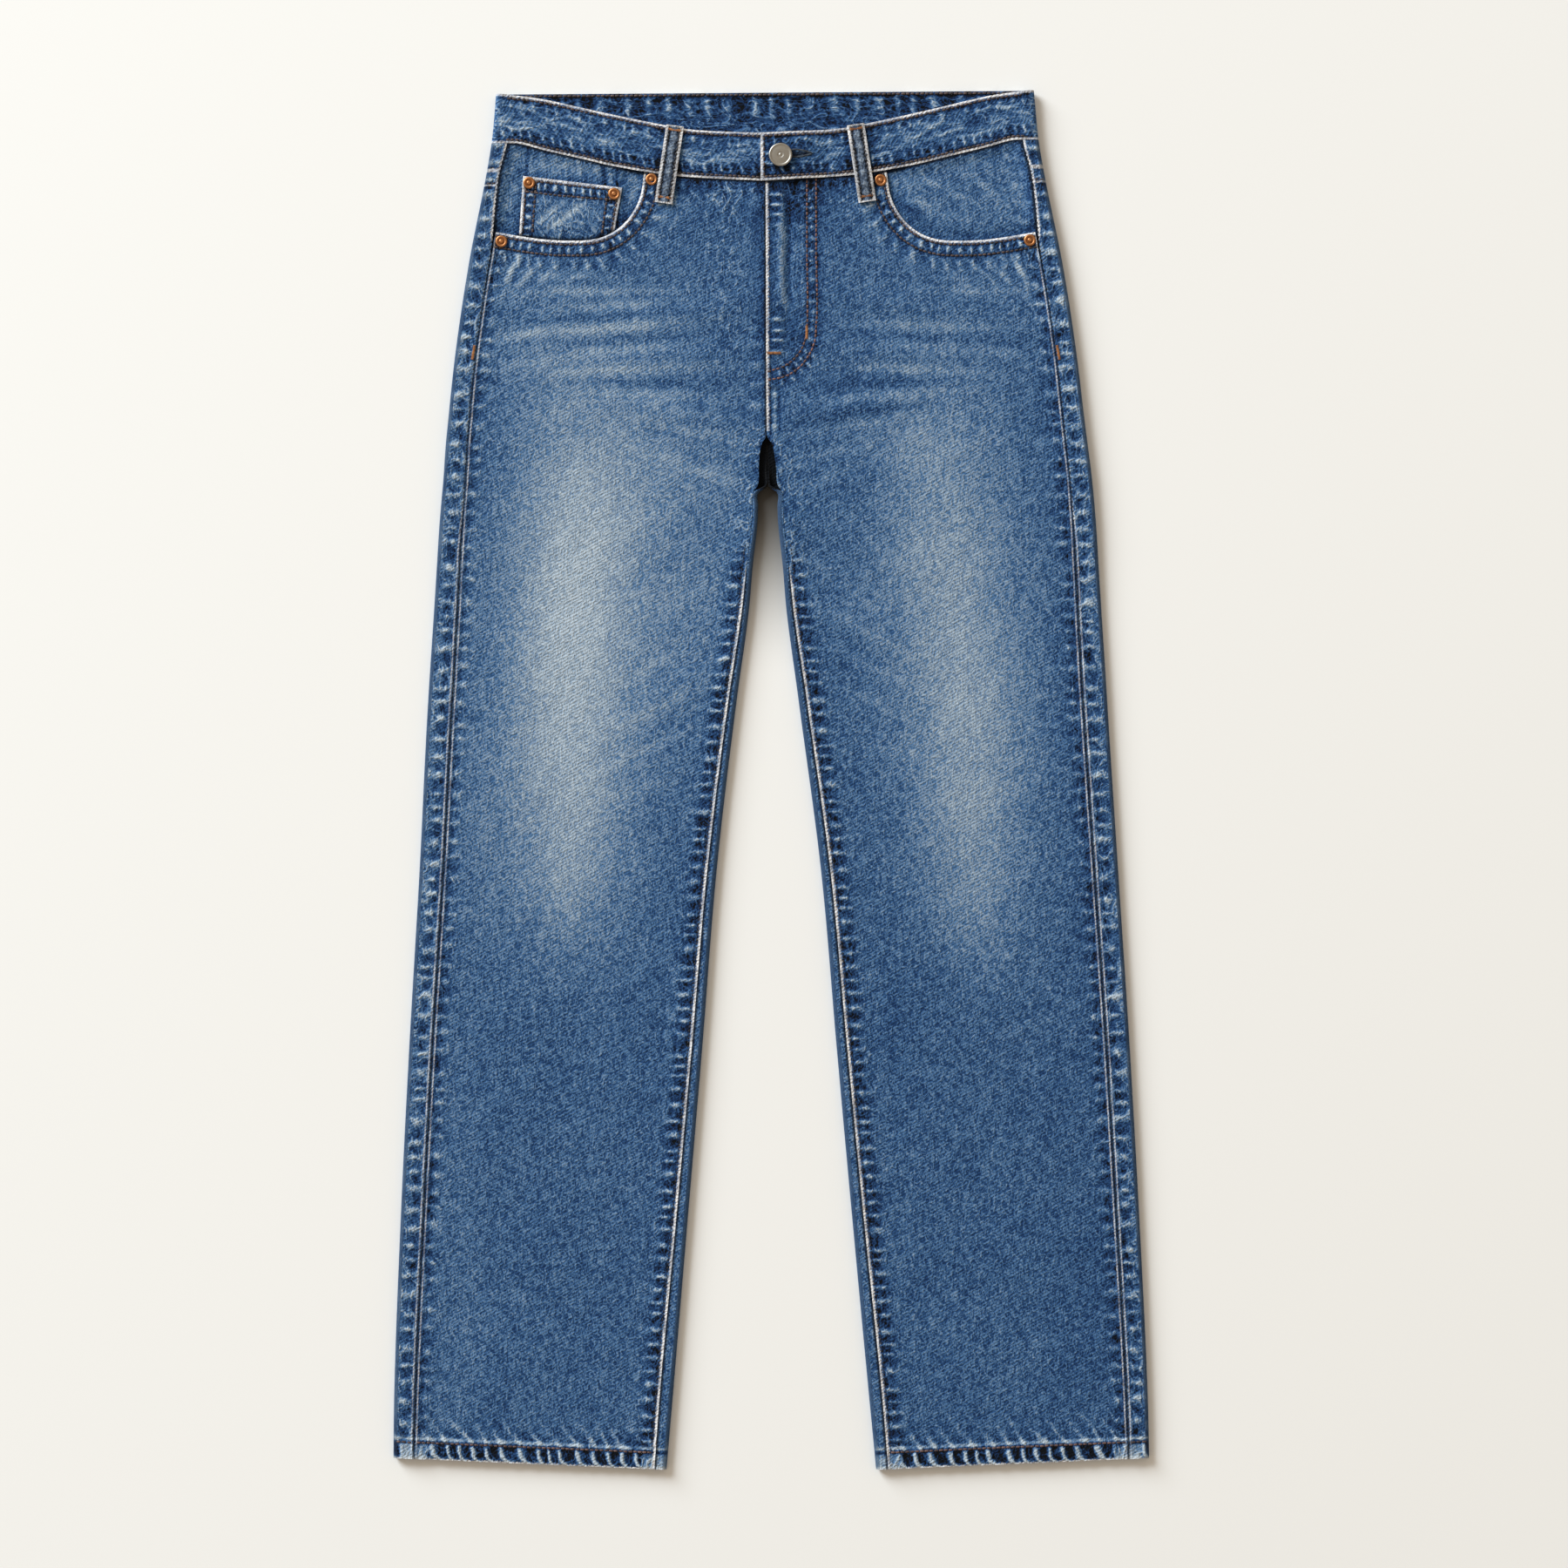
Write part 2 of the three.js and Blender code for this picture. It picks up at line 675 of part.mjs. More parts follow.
for (const { name, side, x, height, on } of rivets) {
  const pocketLayer = on === facingZ ? facingThickness + seamGap : 0;
  const around = [-1, 0, 1].map((k) => on(side, x + k * rivetRadius, height));
  const low = Math.max(...around) + pocketLayer + seamGap;
  turned(name, rivetProfile, rivetSegments, side, x, height, low, copper);
}

jeans.position.y = -overallLength / 2;

export default jeans;
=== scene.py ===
import json
import math
import bpy
import numpy as np
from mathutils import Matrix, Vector

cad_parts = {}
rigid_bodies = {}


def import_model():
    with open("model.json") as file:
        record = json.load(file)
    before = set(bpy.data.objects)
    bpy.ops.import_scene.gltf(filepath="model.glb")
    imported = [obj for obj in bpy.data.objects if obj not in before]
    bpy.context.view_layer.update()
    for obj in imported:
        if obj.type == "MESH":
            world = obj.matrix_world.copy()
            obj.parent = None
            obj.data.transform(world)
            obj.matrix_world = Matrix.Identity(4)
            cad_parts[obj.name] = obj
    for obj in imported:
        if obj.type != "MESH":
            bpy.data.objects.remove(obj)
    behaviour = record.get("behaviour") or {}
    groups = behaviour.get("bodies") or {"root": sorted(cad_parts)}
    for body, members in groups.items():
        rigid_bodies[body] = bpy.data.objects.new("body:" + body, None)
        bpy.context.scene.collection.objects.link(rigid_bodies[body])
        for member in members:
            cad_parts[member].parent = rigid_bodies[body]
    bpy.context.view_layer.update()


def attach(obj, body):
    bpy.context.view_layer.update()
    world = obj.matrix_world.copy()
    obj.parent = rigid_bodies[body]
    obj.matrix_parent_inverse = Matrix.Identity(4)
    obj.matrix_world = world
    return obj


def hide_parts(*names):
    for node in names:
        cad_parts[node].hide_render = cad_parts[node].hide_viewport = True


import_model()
mm = 0.001  # all sizes below are millimetres; meshes are written in metres

# Sizes of the whole garment. Heights run up from the inner corner of the hem,
# widths out from the centre line.
garment = {
    "length": 1045.7,
    "seamGap": 0.3,
    "foldRadius": 3.1,
    "lipEnd": 0.6,
    "hipLift": 1.5,
    "legTop": 5.4,
    "hipTop": 6.1,
    "crownReach": 16.0,
    "hemRise": 8.9,
    "waistTilt": 0.007,
    "cloth": 1.05,
    "crotchSink": 1.3,
}
gap = garment["seamGap"]

# One row for each height: outer fold, outseam inside it, inner fold of the leg, inseam.
outlineRows = np.array([
    [0, 286.8, 15.5, 79.5, 88.6],
    [58, 285.8, 16.3, 74.2, 84.0],
    [190, 280.2, 17.4, 62.4, 71.0],
    [322, 273.2, 17.8, 50.8, 58.6],
    [454, 265.0, 18.2, 39.6, 46.6],
    [586, 257.4, 18.6, 23.1, 29.2],
    [652, 253.1, 18.0, 14.2, 19.4],
    [685, 251.0, 17.6, 11.4, 16.0],
    [718, 248.9, 17.2, 7.8, 12.2],
    [731, 247.8, 17.1, 7.3, 11.6],
    [741, 246.9, 16.9, 6.9, 11.0],
    [746, 246.4, 16.8, 0.15, 7.6],
    [762, 244.9, 16.6, 0.15, 6.3],
    [778, 243.3, 16.3, 0.15, 3.6],
    [784, 242.6, 16.2, 0.15, 0.15],
    [850, 235.0, 15.6, 0.15, 0.15],
    [916, 224.8, 15.6, 0.15, 0.15],
    [982, 211.6, 10.2, 0.15, 0.15],
    [1008, 207.3, 12.2, 0.15, 0.15],
    [1046, 203.8, 12.2, 0.15, 0.15],
])
centreRows = np.array([
    [0, 0], [190, -1.0], [454, -1.9], [586, -2.8], [745, -2.7], [782, -3.6], [916, -4.3], [1046, -4.7],
])
curlRows = np.array([
    [0, math.pi], [741, math.pi], [747, 2.1], [757, 0.9], [768, 0.12], [1046, 0.12],
])
waistRows = np.array([  # distance from the centre, top edge of the front waistband, its lower seam
    [0, 1013.2, 976.8],
    [60, 1016.6, 980.3],
    [75, 1019.4, 981.9],
    [95, 1023.5, 985.0],
    [120, 1028.9, 989.8],
    [137, 1032.8, 994.0],
    [170, 1040.2, 1001.8],
    [182, 1042.0, 1005.2],
    [190, 1042.9, 1006.6],
    [204, 1044.2, 1006.6],
    [212, 1044.2, 1006.6],
])
mouthRows = np.array([  # the scooped front pocket mouth
    [91.7, 984.4], [95.5, 963.5], [106.5, 945.5], [122, 935.0], [143, 931.6], [166, 932.4], [204.2, 938.0],
])


# A cubic through the rows of a table whose slope at a row is the mean of the slopes on both sides.
def curve(rows, column):
    at, value = rows[:, 0], rows[:, column]
    slopes = np.diff(value) / np.diff(at)
    mean = (slopes[:-1] + slopes[1:]) / 2
    mean[slopes[:-1] * slopes[1:] <= 0] = 0
    tangent = np.concatenate([slopes[:1], mean, slopes[-1:]])

    def read(t):
        t = np.clip(np.asarray(t, float), at[0], at[-1])
        k = np.clip(np.searchsorted(at, t, side="left") - 1, 0, len(at) - 2)
        width = at[k + 1] - at[k]
        s = (t - at[k]) / width
        return (value[k] * (1 + 2 * s) * (1 - s) ** 2 + tangent[k] * width * s * (1 - s) ** 2
                + value[k + 1] * s * s * (3 - 2 * s) + tangent[k + 1] * width * s * s * (s - 1))
    return read


halfWidth, outseamInset, halfGap, inseam = (curve(outlineRows, k) for k in (1, 2, 3, 4))
centreX = curve(centreRows, 1)
curl = curve(curlRows, 1)
frontTop, frontSeam = curve(waistRows, 1), curve(waistRows, 2)
mouthHeight = curve(mouthRows, 1)


# 0 below the first value, 1 above the second, an S-curve between them.
def ease(low, high, t):
    s = np.clip((np.asarray(t, float) - low) / (high - low), 0, 1)
    return s * s * (3 - 2 * s)


# The value a given share of the way from one number to another.
def mix(a, b, t):
    return a + (b - a) * t


# A bell that is 1 at the middle and falls off over the given reach.
def bell(distance, reach):
    return np.exp(-(distance / reach) ** 2)


# Sum of a few sines whose wavelengths lie round the given one: an uneven wave between about -1 and 1.
def wander(t, wavelength, seed):
    ratios = np.array([1.0, 0.618, 1.71, 0.43])
    weights = np.array([0.45, 0.25, 0.2, 0.1])
    phases = np.array([1.3, 4.1, 2.2, 5.6]) * (seed + 1)
    t = np.asarray(t, float)[..., None]
    return (weights * np.sin(2 * math.pi * t / (wavelength * ratios) + phases)).sum(-1)


# Sum of plane waves in seeded directions: soft patches of about the given size.
def clouds(x, y, size, seed):
    rng = np.random.default_rng(seed)
    total = 0
    for k in range(9):
        angle, phase = rng.uniform(0, 2 * math.pi, 2)
        wave = size * rng.uniform(0.6, 1.8)
        total = total + np.sin((x * math.cos(angle) + y * math.sin(angle)) * 2 * math.pi / wave + phase)
    return total / 5


# Where in its round each gather along a seam is: whole numbers are ridges. The spacing wanders a little.
def gatherPhase(run, pitch, seed):
    return run / pitch + 0.35 * wander(run, pitch * 5.3, seed)


# Height of the gathers: narrow ridges with broad troughs between them, from -0.5 to about 1.1.
def ridges(phase):
    return 1.6 * (0.5 + 0.5 * np.cos(2 * math.pi * phase)) ** 2.6 - 0.5


# Height of the gathers along a seam, from the distance along it.
def beads(run, pitch, seed):
    return ridges(gatherPhase(run, pitch, seed))


# Of several (phase, weight) pairs, the one that is strongest at each place.
def strongest(*pairs):
    phases, weights = (np.stack(np.broadcast_arrays(*column)) for column in zip(*pairs))
    pick = weights.argmax(0)[None]
    return np.take_along_axis(phases, pick, 0)[0], np.take_along_axis(weights, pick, 0)[0]


# Height of the underside of the folds above the surface: a smooth step up to the hips.
def lift(h):
    return garment["hipLift"] * ease(640, 760, h)


# Where the outseam lies: the half width less its distance from the outer fold.
def outerSeam(h):
    return halfWidth(h) - outseamInset(h)


# Height of the hem edge: a straight line that rises towards the outer fold.
def hemRow(x):
    inner, outer = 79.5, 286.8
    return garment["hemRise"] * (x - inner) / (outer - inner)


# Rise of the waist across the garment: a share of the distance from the centre.
def tilt(side, x):
    return garment["waistTilt"] * side * x


# Stacks coordinates of one shape as the last axis.
def together(*values):
    return np.stack(np.broadcast_arrays(*values), -1)


# A point of the frame from a side, a distance from the centre line and a height along the leg.
def place(side, x, h, z):
    return together(centreX(h) + side * x, h - garment["length"] / 2, z)


# Soft ridges and troughs, as on the laid cloth: x, height, turn, reach along, reach across, rise.
creaseRows = [
    (-60, 876, 8, 62, 9, 0.7), (-78, 842, 4, 66, 9, 0.6), (-66, 800, -8, 52, 9, 0.6),
    (84, 884, -6, 60, 9, 0.7), (78, 846, -2, 64, 9, 0.6), (62, 806, 9, 54, 9, 0.7),
    (-72, 590, 32, 42, 10, 0.5), (66, 640, -30, 46, 10, 0.6),
]


# Sum over the rows of rise times a bell along and a bell across the turned row.
def streaks(rows, x, h):
    total = np.zeros(np.broadcast(x, h).shape)
    for cx, ch, turn, reach, width, rise in rows:
        a = math.radians(turn)
        dx, dh = x - cx, h - ch
        along, across = dx * math.cos(a) + dh * math.sin(a), dh * math.cos(a) - dx * math.sin(a)
        total += rise * bell(along, reach) * bell(across, width)
    return total


# Outer face of the upper layer: a level top with a crown that rises to the folds at both sides.
def topZ(side, x, h):
    middle = mix(garment["legTop"], garment["hipTop"], ease(640, 760, h))
    joined = ease(700, 745, h)
    outerGap = np.maximum(0, halfWidth(h) - garment["foldRadius"] - x)
    innerGap = np.maximum(0, x - halfGap(h) - garment["foldRadius"])
    reach = garment["crownReach"]
    crown = (lift(h) + 2 * garment["foldRadius"] - middle) * np.maximum(bell(outerGap, reach),
                                                                        bell(innerGap, reach) * (1 - joined))
    fade = ease(0, reach, np.minimum(outerGap, innerGap + reach * joined))
    hem = 0.7 * (1 - ease(12.5, 17.5, h - hemRow(x)))
    return middle + crown + (streaks(creaseRows, side * x, h) + hem) * fade


# Outer face of a front panel: the upper layer, one thickness higher over the fly on the left.
def panelZ(side, x, h):
    fly = 1.2 * (1 - ease(10, 17, x)) * ease(836, 856, h) if side > 0 else 0
    return topZ(side, x, h) + fly


# Distance from each point to a smooth line through a few places, and how far along it the nearest place is.
def nearLine(points, x, h, count=90):
    line = alongLine(points, count)
    run = np.concatenate([[0], np.cumsum(np.hypot(*np.diff(line, axis=0).T))])
    best = np.full(np.broadcast(x, h).shape, 1e9)
    where = np.zeros(best.shape)
    for (ax, ah), (bx, bh), start, end in zip(line[:-1], line[1:], run[:-1], run[1:]):
        vx, vh = bx - ax, bh - ah
        t = np.clip(((x - ax) * vx + (h - ah) * vh) / (vx * vx + vh * vh), 0, 1)
        d = np.hypot(x - ax - t * vx, h - ah - t * vh)
        closer = d < best
        best = np.where(closer, d, best)
        where = np.where(closer, mix(start, end, t), where)
    return best, where


# Even steps by length along a cubic through a few places.
def alongLine(points, count):
    points = np.asarray(points, float)
    run = np.concatenate([[0], np.cumsum(np.hypot(*np.diff(points, axis=0).T))])
    fine = np.linspace(0, run[-1], count * 6)
    smooth = np.stack([curve(np.stack([run, points[:, k]], -1), 1)(fine) for k in (0, 1)], -1)
    length = np.concatenate([[0], np.cumsum(np.hypot(*np.diff(smooth, axis=0).T))])
    even = np.linspace(0, length[-1], count)
    return np.stack([np.interp(even, length, smooth[:, k]) for k in (0, 1)], -1)


# Shares from 0 to 1: each stretch, given as its end and its step in millimetres, is cut into even steps.
def graded(*stretches):
    marks, start = [np.zeros(1)], 0.0
    for end, step in stretches:
        marks.append(np.linspace(start, end, max(1, round((end - start) / step)) + 1)[1:])
        start = end
    return np.concatenate(marks) / start


# Unit normals of a grid of points: the cross product of its two gradients.
def gridNormals(points, flip):
    across = np.gradient(points, axis=1)
    along = np.gradient(points, axis=0)
    normal = np.cross(across, along)
    normal /= np.linalg.norm(normal, axis=-1, keepdims=True) + 1e-12
    return -normal if flip else normal


# A closed thin wall: the grid, the grid moved in by the thickness along its normals, and a rim round both.
def wallFaces(rows, cols, flip):
    index = np.arange(rows * cols).reshape(rows, cols)
    a, b, c, d = index[:-1, :-1], index[:-1, 1:], index[1:, 1:], index[1:, :-1]
    outer = np.stack([a, b, c, d], -1).reshape(-1, 4)
    inside = rows * cols
    inner = outer[:, ::-1] + inside
    ring = np.concatenate([index[0, :], index[1:, -1], index[-1, -2::-1], index[-2:0:-1, 0]])
    nextRing = np.roll(ring, -1)
    rim = np.stack([nextRing, ring, ring + inside, nextRing + inside], -1)
    faces = np.concatenate([outer, inner, rim])
    return faces[:, ::-1] if flip else faces


# Adds a mesh object at the origin from millimetre points and faces.
def newMesh(name, verts, faces, smooth=True):
    mesh = bpy.data.meshes.new(name)
    mesh.from_pydata(verts.tolist(), [], faces.tolist())
    mesh.polygons.foreach_set("use_smooth", np.full(len(faces), smooth))
    mesh.update()
    piece = bpy.data.objects.new(name, mesh)
    bpy.context.scene.collection.objects.link(piece)
    return piece


# Keeps one number for each point, which the denim reads.
def setNumbers(piece, name, values):
    piece.data.attributes.new(name, "FLOAT", "POINT").data.foreach_set("value",
                                                                       np.ascontiguousarray(values,
                                                                                            np.float32))


# Keeps the grain coordinates in millimetres as a UV map.
def setGrain(piece, uv):
    mesh = piece.data
    corner = np.empty(len(mesh.loops), np.int32)
    mesh.loops.foreach_get("vertex_index", corner)
    mesh.uv_layers.new(name="grain").data.foreach_set("uv", uv[corner].astype(np.float32).ravel())


# Builds a denim piece from its outer grid. tone is the wash with painted shade added in (0 dark, 1 bleached),
# edge the distance to a worn edge, twin to a felled seam with a pale line on it and a painted shade in its
# gap, shade to an edge that covers it, along which a painted shade line is drawn, crinkle how veined it is.
def clothPiece(name, outer, tone, edge, grain, material, nodes, flip=False,
               innerTone=0.3, innerEdge=60.0, thickness=None, twin=60.0, shade=60.0,
               crinkle=0.0, gathers=(0.0, 0.0),
               innerGathers=(0.0, 0.0)):
    rows, cols = outer.shape[:2]
    thickness = garment["cloth"] if thickness is None else thickness
    inner = outer - gridNormals(outer, flip) * thickness
    verts = np.concatenate([outer.reshape(-1, 3), inner.reshape(-1, 3)]) * mm
    piece = newMesh(name, verts, wallFaces(rows, cols, flip))
    piece.data.set_sharp_from_angle(angle=1.2)
    painted = {"tone": (tone, innerTone), "edge": (edge, innerEdge), "twin": (twin, 60.0),
               "shade": (shade, 60.0), "crinkleAmount": (crinkle, 0.5),
               "phase": (gathers[0], innerGathers[0]),
               "gather": (gathers[1], innerGathers[1])}
    for key, pair in painted.items():
        setNumbers(piece, key,
                   np.concatenate([np.broadcast_to(value, (rows, cols)).ravel() for value in pair]))
    uv = np.concatenate([grain.reshape(-1, 2)] * 2)
    setGrain(piece, uv)
    piece.data.materials.append(material)
    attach(piece, "root")
    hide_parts(*nodes)
    return piece


# A colour from sRGB hexadecimal to linear, by the sRGB curve.
def toLinear(hexColour):
    channels = [int(hexColour[k:k + 2], 16) / 255 for k in (1, 3, 5)]
    return tuple(c / 12.92 if c <= 0.04045 else ((c + 0.055) / 1.055) ** 2.4 for c in channels) + (1.0,)


# Adds a node, sets its properties, colour stops and inputs, and links the inputs that are given as sockets.
def addNode(tree, kind, settings=None, stops=(), **inputs):
    node = tree.nodes.new(kind)
    for key, value in (settings or {}).items():
        setattr(node, key, value)
    for _ in stops[2:]:
        node.color_ramp.elements.new(0.5)
    for element, (position, colour) in zip(node.color_ramp.elements if stops else (), stops):
        element.position, element.color = position, toLinear(colour)
    for key, value in inputs.items():
        socket = (node.inputs[int(key[1:])] if key[0] == "i"
                  and key[1:].isdigit() else node.inputs[key.replace("_", " ")])
        if isinstance(value, bpy.types.NodeSocket):
            tree.links.new(value, socket)
        else:
            socket.default_value = value
    return node


# An empty node material and its tree.
def newMaterial(name):
    material = bpy.data.materials.new(name)
    material.use_nodes = True
    material.node_tree.nodes.clear()
    return material, material.node_tree


# Works through rows of a result's name, an operation and its inputs, which are earlier results or numbers.
# FADE is a smooth step of a value: 0 at the first bound, the top value at the second.
def addSteps(tree, values, rows):
    for name, operation, *inputs in rows:
        kind, settings = "ShaderNodeMath", {"operation": operation}
        inputs = [values.get(key, key) for key in inputs]
        if operation == "FADE":
            kind, settings = "ShaderNodeMapRange", {"interpolation_type": "SMOOTHSTEP"}
            inputs.insert(3, 0.0)
        values[name] = addNode(tree, kind, settings,
                               **{f"i{k}": value for k, value in enumerate(inputs)}).outputs[0]


denimLook = {
    # the wash of the cloth with the painted shade in it, from near black to bleached; the darkest stops draw
    # the painted shade at the crotch
    "wash": [(0.0, "#03060C"), (0.03, "#0B1B36"), (0.2, "#14315A"), (0.42, "#2C4F7A"), (0.52, "#40638C"),
             (0.62, "#53759A"),
             (0.74, "#748BA6"), (0.87, "#92A4B5"), (1.0, "#B2BFCA")],
    "wornEdge": "#EBE8E6",
    # painted shade: the dark of a line along an edge that covers the cloth and of the gap in a felled seam
    "gapShade": "#080D18",
    # each pattern: size across and along in millimetres, detail, roughness, distortion
    "patterns": {
        "vein": (3.2, 4.2, 1.0, 0.5, 0.9),        # pale curly veins that stone washing leaves
        "curl": (5.6, 8.4, 1.0, 0.5, 1.2),        # longer ones between them
        "crinkle": (11.0, 17.0, 1.0, 0.5, 1.3),   # larger ones where a seam gathers the cloth
        "fine": (1.5, 2.1, 2.0, 0.6, 0.0),
        "slub": (1.5, 24.0, 3.0, 0.6, 0.0),       # thick places in the warp
        "patch": (14.0, 20.0, 3.0, 0.5, 0.0),
    },
    "twillPitch": 2.2,  # real twill lines lie 0.6 mm apart; drawn coarser so that they show
    "lineSharpness": {"vein": 7.0, "curl": 13.0, "crinkle": 13.0},
    # what each pattern adds to the wash, and the middle value that leaves it as it is
    "amounts": {"vein": (0.30, 0.36), "curl": (0.08, 0.24), "crinkleFold": (0.62, 0.0), "bars": (0.40, 0.0),
                "fine": (0.34, 0.5), "slub": (0.26, 0.5), "patch": (0.05, 0.5), "twill": (0.03, 0.5)},
}

# Belt loops wear grey: the same cloth, rubbed on its ribs.
loopLook = dict(denimLook,
                wash=[(0.0, "#05070C"), (0.15, "#161E2C"), (0.35, "#303D50"), (0.5, "#48566A"),
                      (0.65, "#627083"),
                                 (0.8, "#7F8D9D"), (1.0, "#AEB8C2")])


# Washed indigo twill: woven cotton, stone washed, so matt, with pale veins, warp slubs and white worn edges.
# A vein is where a noise crosses its middle value; a gather is a narrow cosine ridge over the phase.
# It also paints a dark shade line along covering edges and in seam gaps, and the tone it reads carries
# painted shade.
def washedDenim(name, look):
    material, tree = newMaterial(name)
    grain = addNode(tree, "ShaderNodeUVMap", {"uv_map": "grain"}).outputs[0]
    values = {key: addNode(tree, "ShaderNodeAttribute", {"attribute_name": key}).outputs["Fac"]
              for key in ("tone", "edge", "twin", "shade", "crinkleAmount", "phase", "gather")}
    for key, (across, along, detail, roughness, distortion) in look["patterns"].items():
        spot = addNode(tree, "ShaderNodeMapping", i0=grain, Scale=(1 / across, 1 / along, 1)).outputs[0]
        values[key] = addNode(tree, "ShaderNodeTexNoise", i0=spot, Scale=1.0, Detail=detail,
                              Roughness=roughness,
                              Distortion=distortion).outputs[0]
    ribs = addNode(tree, "ShaderNodeMapping", i0=grain, Rotation=(0, 0, math.radians(62)),
                   Scale=(1 / look["twillPitch"],) * 3).outputs[0]
    values["twill"] = addNode(tree, "ShaderNodeTexWave", i0=ribs, Scale=0.31, Distortion=1.6,
                              Detail=1.0).outputs[1]
    for key, sharp in look["lineSharpness"].items():
        addSteps(tree, values, [("away", "SUBTRACT", key, 0.5), ("away", "ABSOLUTE", "away"),
                                ("away", "MULTIPLY_ADD", "away", -sharp, 1.0), (key, "MAXIMUM", "away", 0.0)])
    addSteps(tree, values, [
        ("crinkleFold", "SUBTRACT", "crinkle", 0.22),
        ("crinkleFold", "MULTIPLY", "crinkleFold", "crinkleAmount"),
        ("turn", "MULTIPLY", "phase", 2 * math.pi), ("turn", "COSINE", "turn"),
        ("turn", "MULTIPLY_ADD", "turn", 0.5, 0.5), ("turn", "POWER", "turn", 3.2),
        ("turn", "MULTIPLY_ADD", "turn", 1.9, -0.55), ("bars", "MULTIPLY", "turn", "gather"),
        ("pattern", "ADD", 0.0, -sum(amount * middle for amount, middle in look["amounts"].values())),
    ])
    for key, (amount, middle) in look["amounts"].items():
        addSteps(tree, values, [("pattern", "MULTIPLY_ADD", key, amount, "pattern")])
    addSteps(tree, values, [
        ("even", "MULTIPLY_ADD", "tone", -1.3, 1.75), ("even", "MINIMUM", "even", 1.2),
        ("even", "MAXIMUM", "even", 0.55),
        ("wash", "MULTIPLY_ADD", "pattern", "even", "tone"), ("fray", "MULTIPLY_ADD", "fine", 3.0, -1.5),
        ("uneven", "FADE", "patch", 0.25, 0.6, 1.0),
        ("worn", "ADD", "edge", "fray"), ("worn", "FADE", "worn", 2.1, 0.9, 0.92),
        ("most", "MAXIMUM", "uneven", 0.55), ("worn", "MULTIPLY", "worn", "most"),
        ("line", "MULTIPLY_ADD", "fray", 0.45, "twin"), ("line", "SUBTRACT", "line", 1.9),
        ("line", "ABSOLUTE", "line"),
        ("line", "FADE", "line", 0.75, 0.2, 0.5), ("most", "MAXIMUM", "uneven", 0.4),
        ("line", "MULTIPLY", "line", "most"),
        ("worn", "MAXIMUM", "worn", "line"),
        # painted shade: dark along an edge that covers the cloth and in the gap of a felled seam
        ("covered", "ADD", "shade", "fray"), ("covered", "FADE", "covered", 2.4, 0.9, 0.86),
        ("seamGap", "FADE", "twin", 1.5, 0.6, 0.7), ("covered", "MAXIMUM", "covered", "seamGap"),
        ("height", "MULTIPLY", "twill", 0.5), ("height", "MULTIPLY_ADD", "vein", 0.7, "height"),
        ("height", "MULTIPLY_ADD", "slub", 0.9, "height"),
        ("height", "MULTIPLY_ADD", "crinkleFold", 2.5, "height"),
        ("height", "MULTIPLY_ADD", "bars", 1.2, "height"),
        ("height", "MULTIPLY_ADD", "fine", 1.4, "height"),
    ])
    colour = addNode(tree, "ShaderNodeValToRGB", stops=look["wash"], i0=values["wash"]).outputs[0]
    for amount, over in (("worn", "wornEdge"), ("covered", "gapShade")):
        colour = addNode(tree, "ShaderNodeMix", {"data_type": "RGBA"}, i0=values[amount], i6=colour,
                         i7=toLinear(look[over])).outputs[2]
    bump = addNode(tree, "ShaderNodeBump", Strength=0.8, Distance=0.0005, Height=values["height"]).outputs[0]
    shader = addNode(tree, "ShaderNodeBsdfPrincipled", Base_Color=colour, Roughness=0.92, IOR=1.46,
                     Normal=bump,
                     Specular_IOR_Level=0.18, Sheen_Weight=0.05, Sheen_Roughness=0.5)
    addNode(tree, "ShaderNodeOutputMaterial", i0=shader.outputs[0])
    return material


# Spun polyester-cotton sewing thread: two plies, a soft gloss, a little dirt from the wash.
def sewingThread(name, colour, darkColour):
    material, tree = newMaterial(name)
    spot = addNode(tree, "ShaderNodeTexCoord").outputs["Object"]
    noise = addNode(tree, "ShaderNodeTexNoise", i0=spot, Scale=220.0, Detail=2.0).outputs[0]
    tint = addNode(tree, "ShaderNodeValToRGB", stops=[(0.35, darkColour), (0.62, colour)],
                   i0=noise).outputs[0]
    shader = addNode(tree, "ShaderNodeBsdfPrincipled", Base_Color=tint, Roughness=0.7, IOR=1.5,
                     Sheen_Weight=0.1)
    addNode(tree, "ShaderNodeOutputMaterial", i0=shader.outputs[0])
    return material


# Plated metal, pressed and tumbled: bright on the high places, tarnished in the low ones, finely scratched;
# the number it reads also carries a painted shade on steep walls.
def platedMetal(name, bright, tarnishAndShade, roughness):
    material, tree = newMaterial(name)
    spot = addNode(tree, "ShaderNodeTexCoord").outputs["Object"]
    noise = addNode(tree, "ShaderNodeTexNoise", i0=spot, Scale=420.0, Detail=5.0, Roughness=0.65).outputs[0]
    age = addNode(tree, "ShaderNodeAttribute", {"attribute_name": "tarnishAndShade"}).outputs["Fac"]
    mixed = addNode(tree, "ShaderNodeMath", {"operation": "MULTIPLY_ADD"}, i0=noise, i1=0.5,
                    i2=age).outputs[0]
    tint = addNode(tree, "ShaderNodeValToRGB", stops=[(0.2, bright), (0.95, tarnishAndShade)], i0=mixed).outputs[0]
    dull = addNode(tree, "ShaderNodeMapRange", Value=mixed, i1=0.1, i2=1.0, i3=roughness, i4=roughness
                   + 0.3).outputs[0]
    bump = addNode(tree, "ShaderNodeBump", Strength=0.25, Distance=0.0001, Height=noise).outputs[0]
    shader = addNode(tree, "ShaderNodeBsdfPrincipled", Base_Color=tint, Roughness=dull, Metallic=1.0,
                     Normal=bump)
    addNode(tree, "ShaderNodeOutputMaterial", i0=shader.outputs[0])
    return material


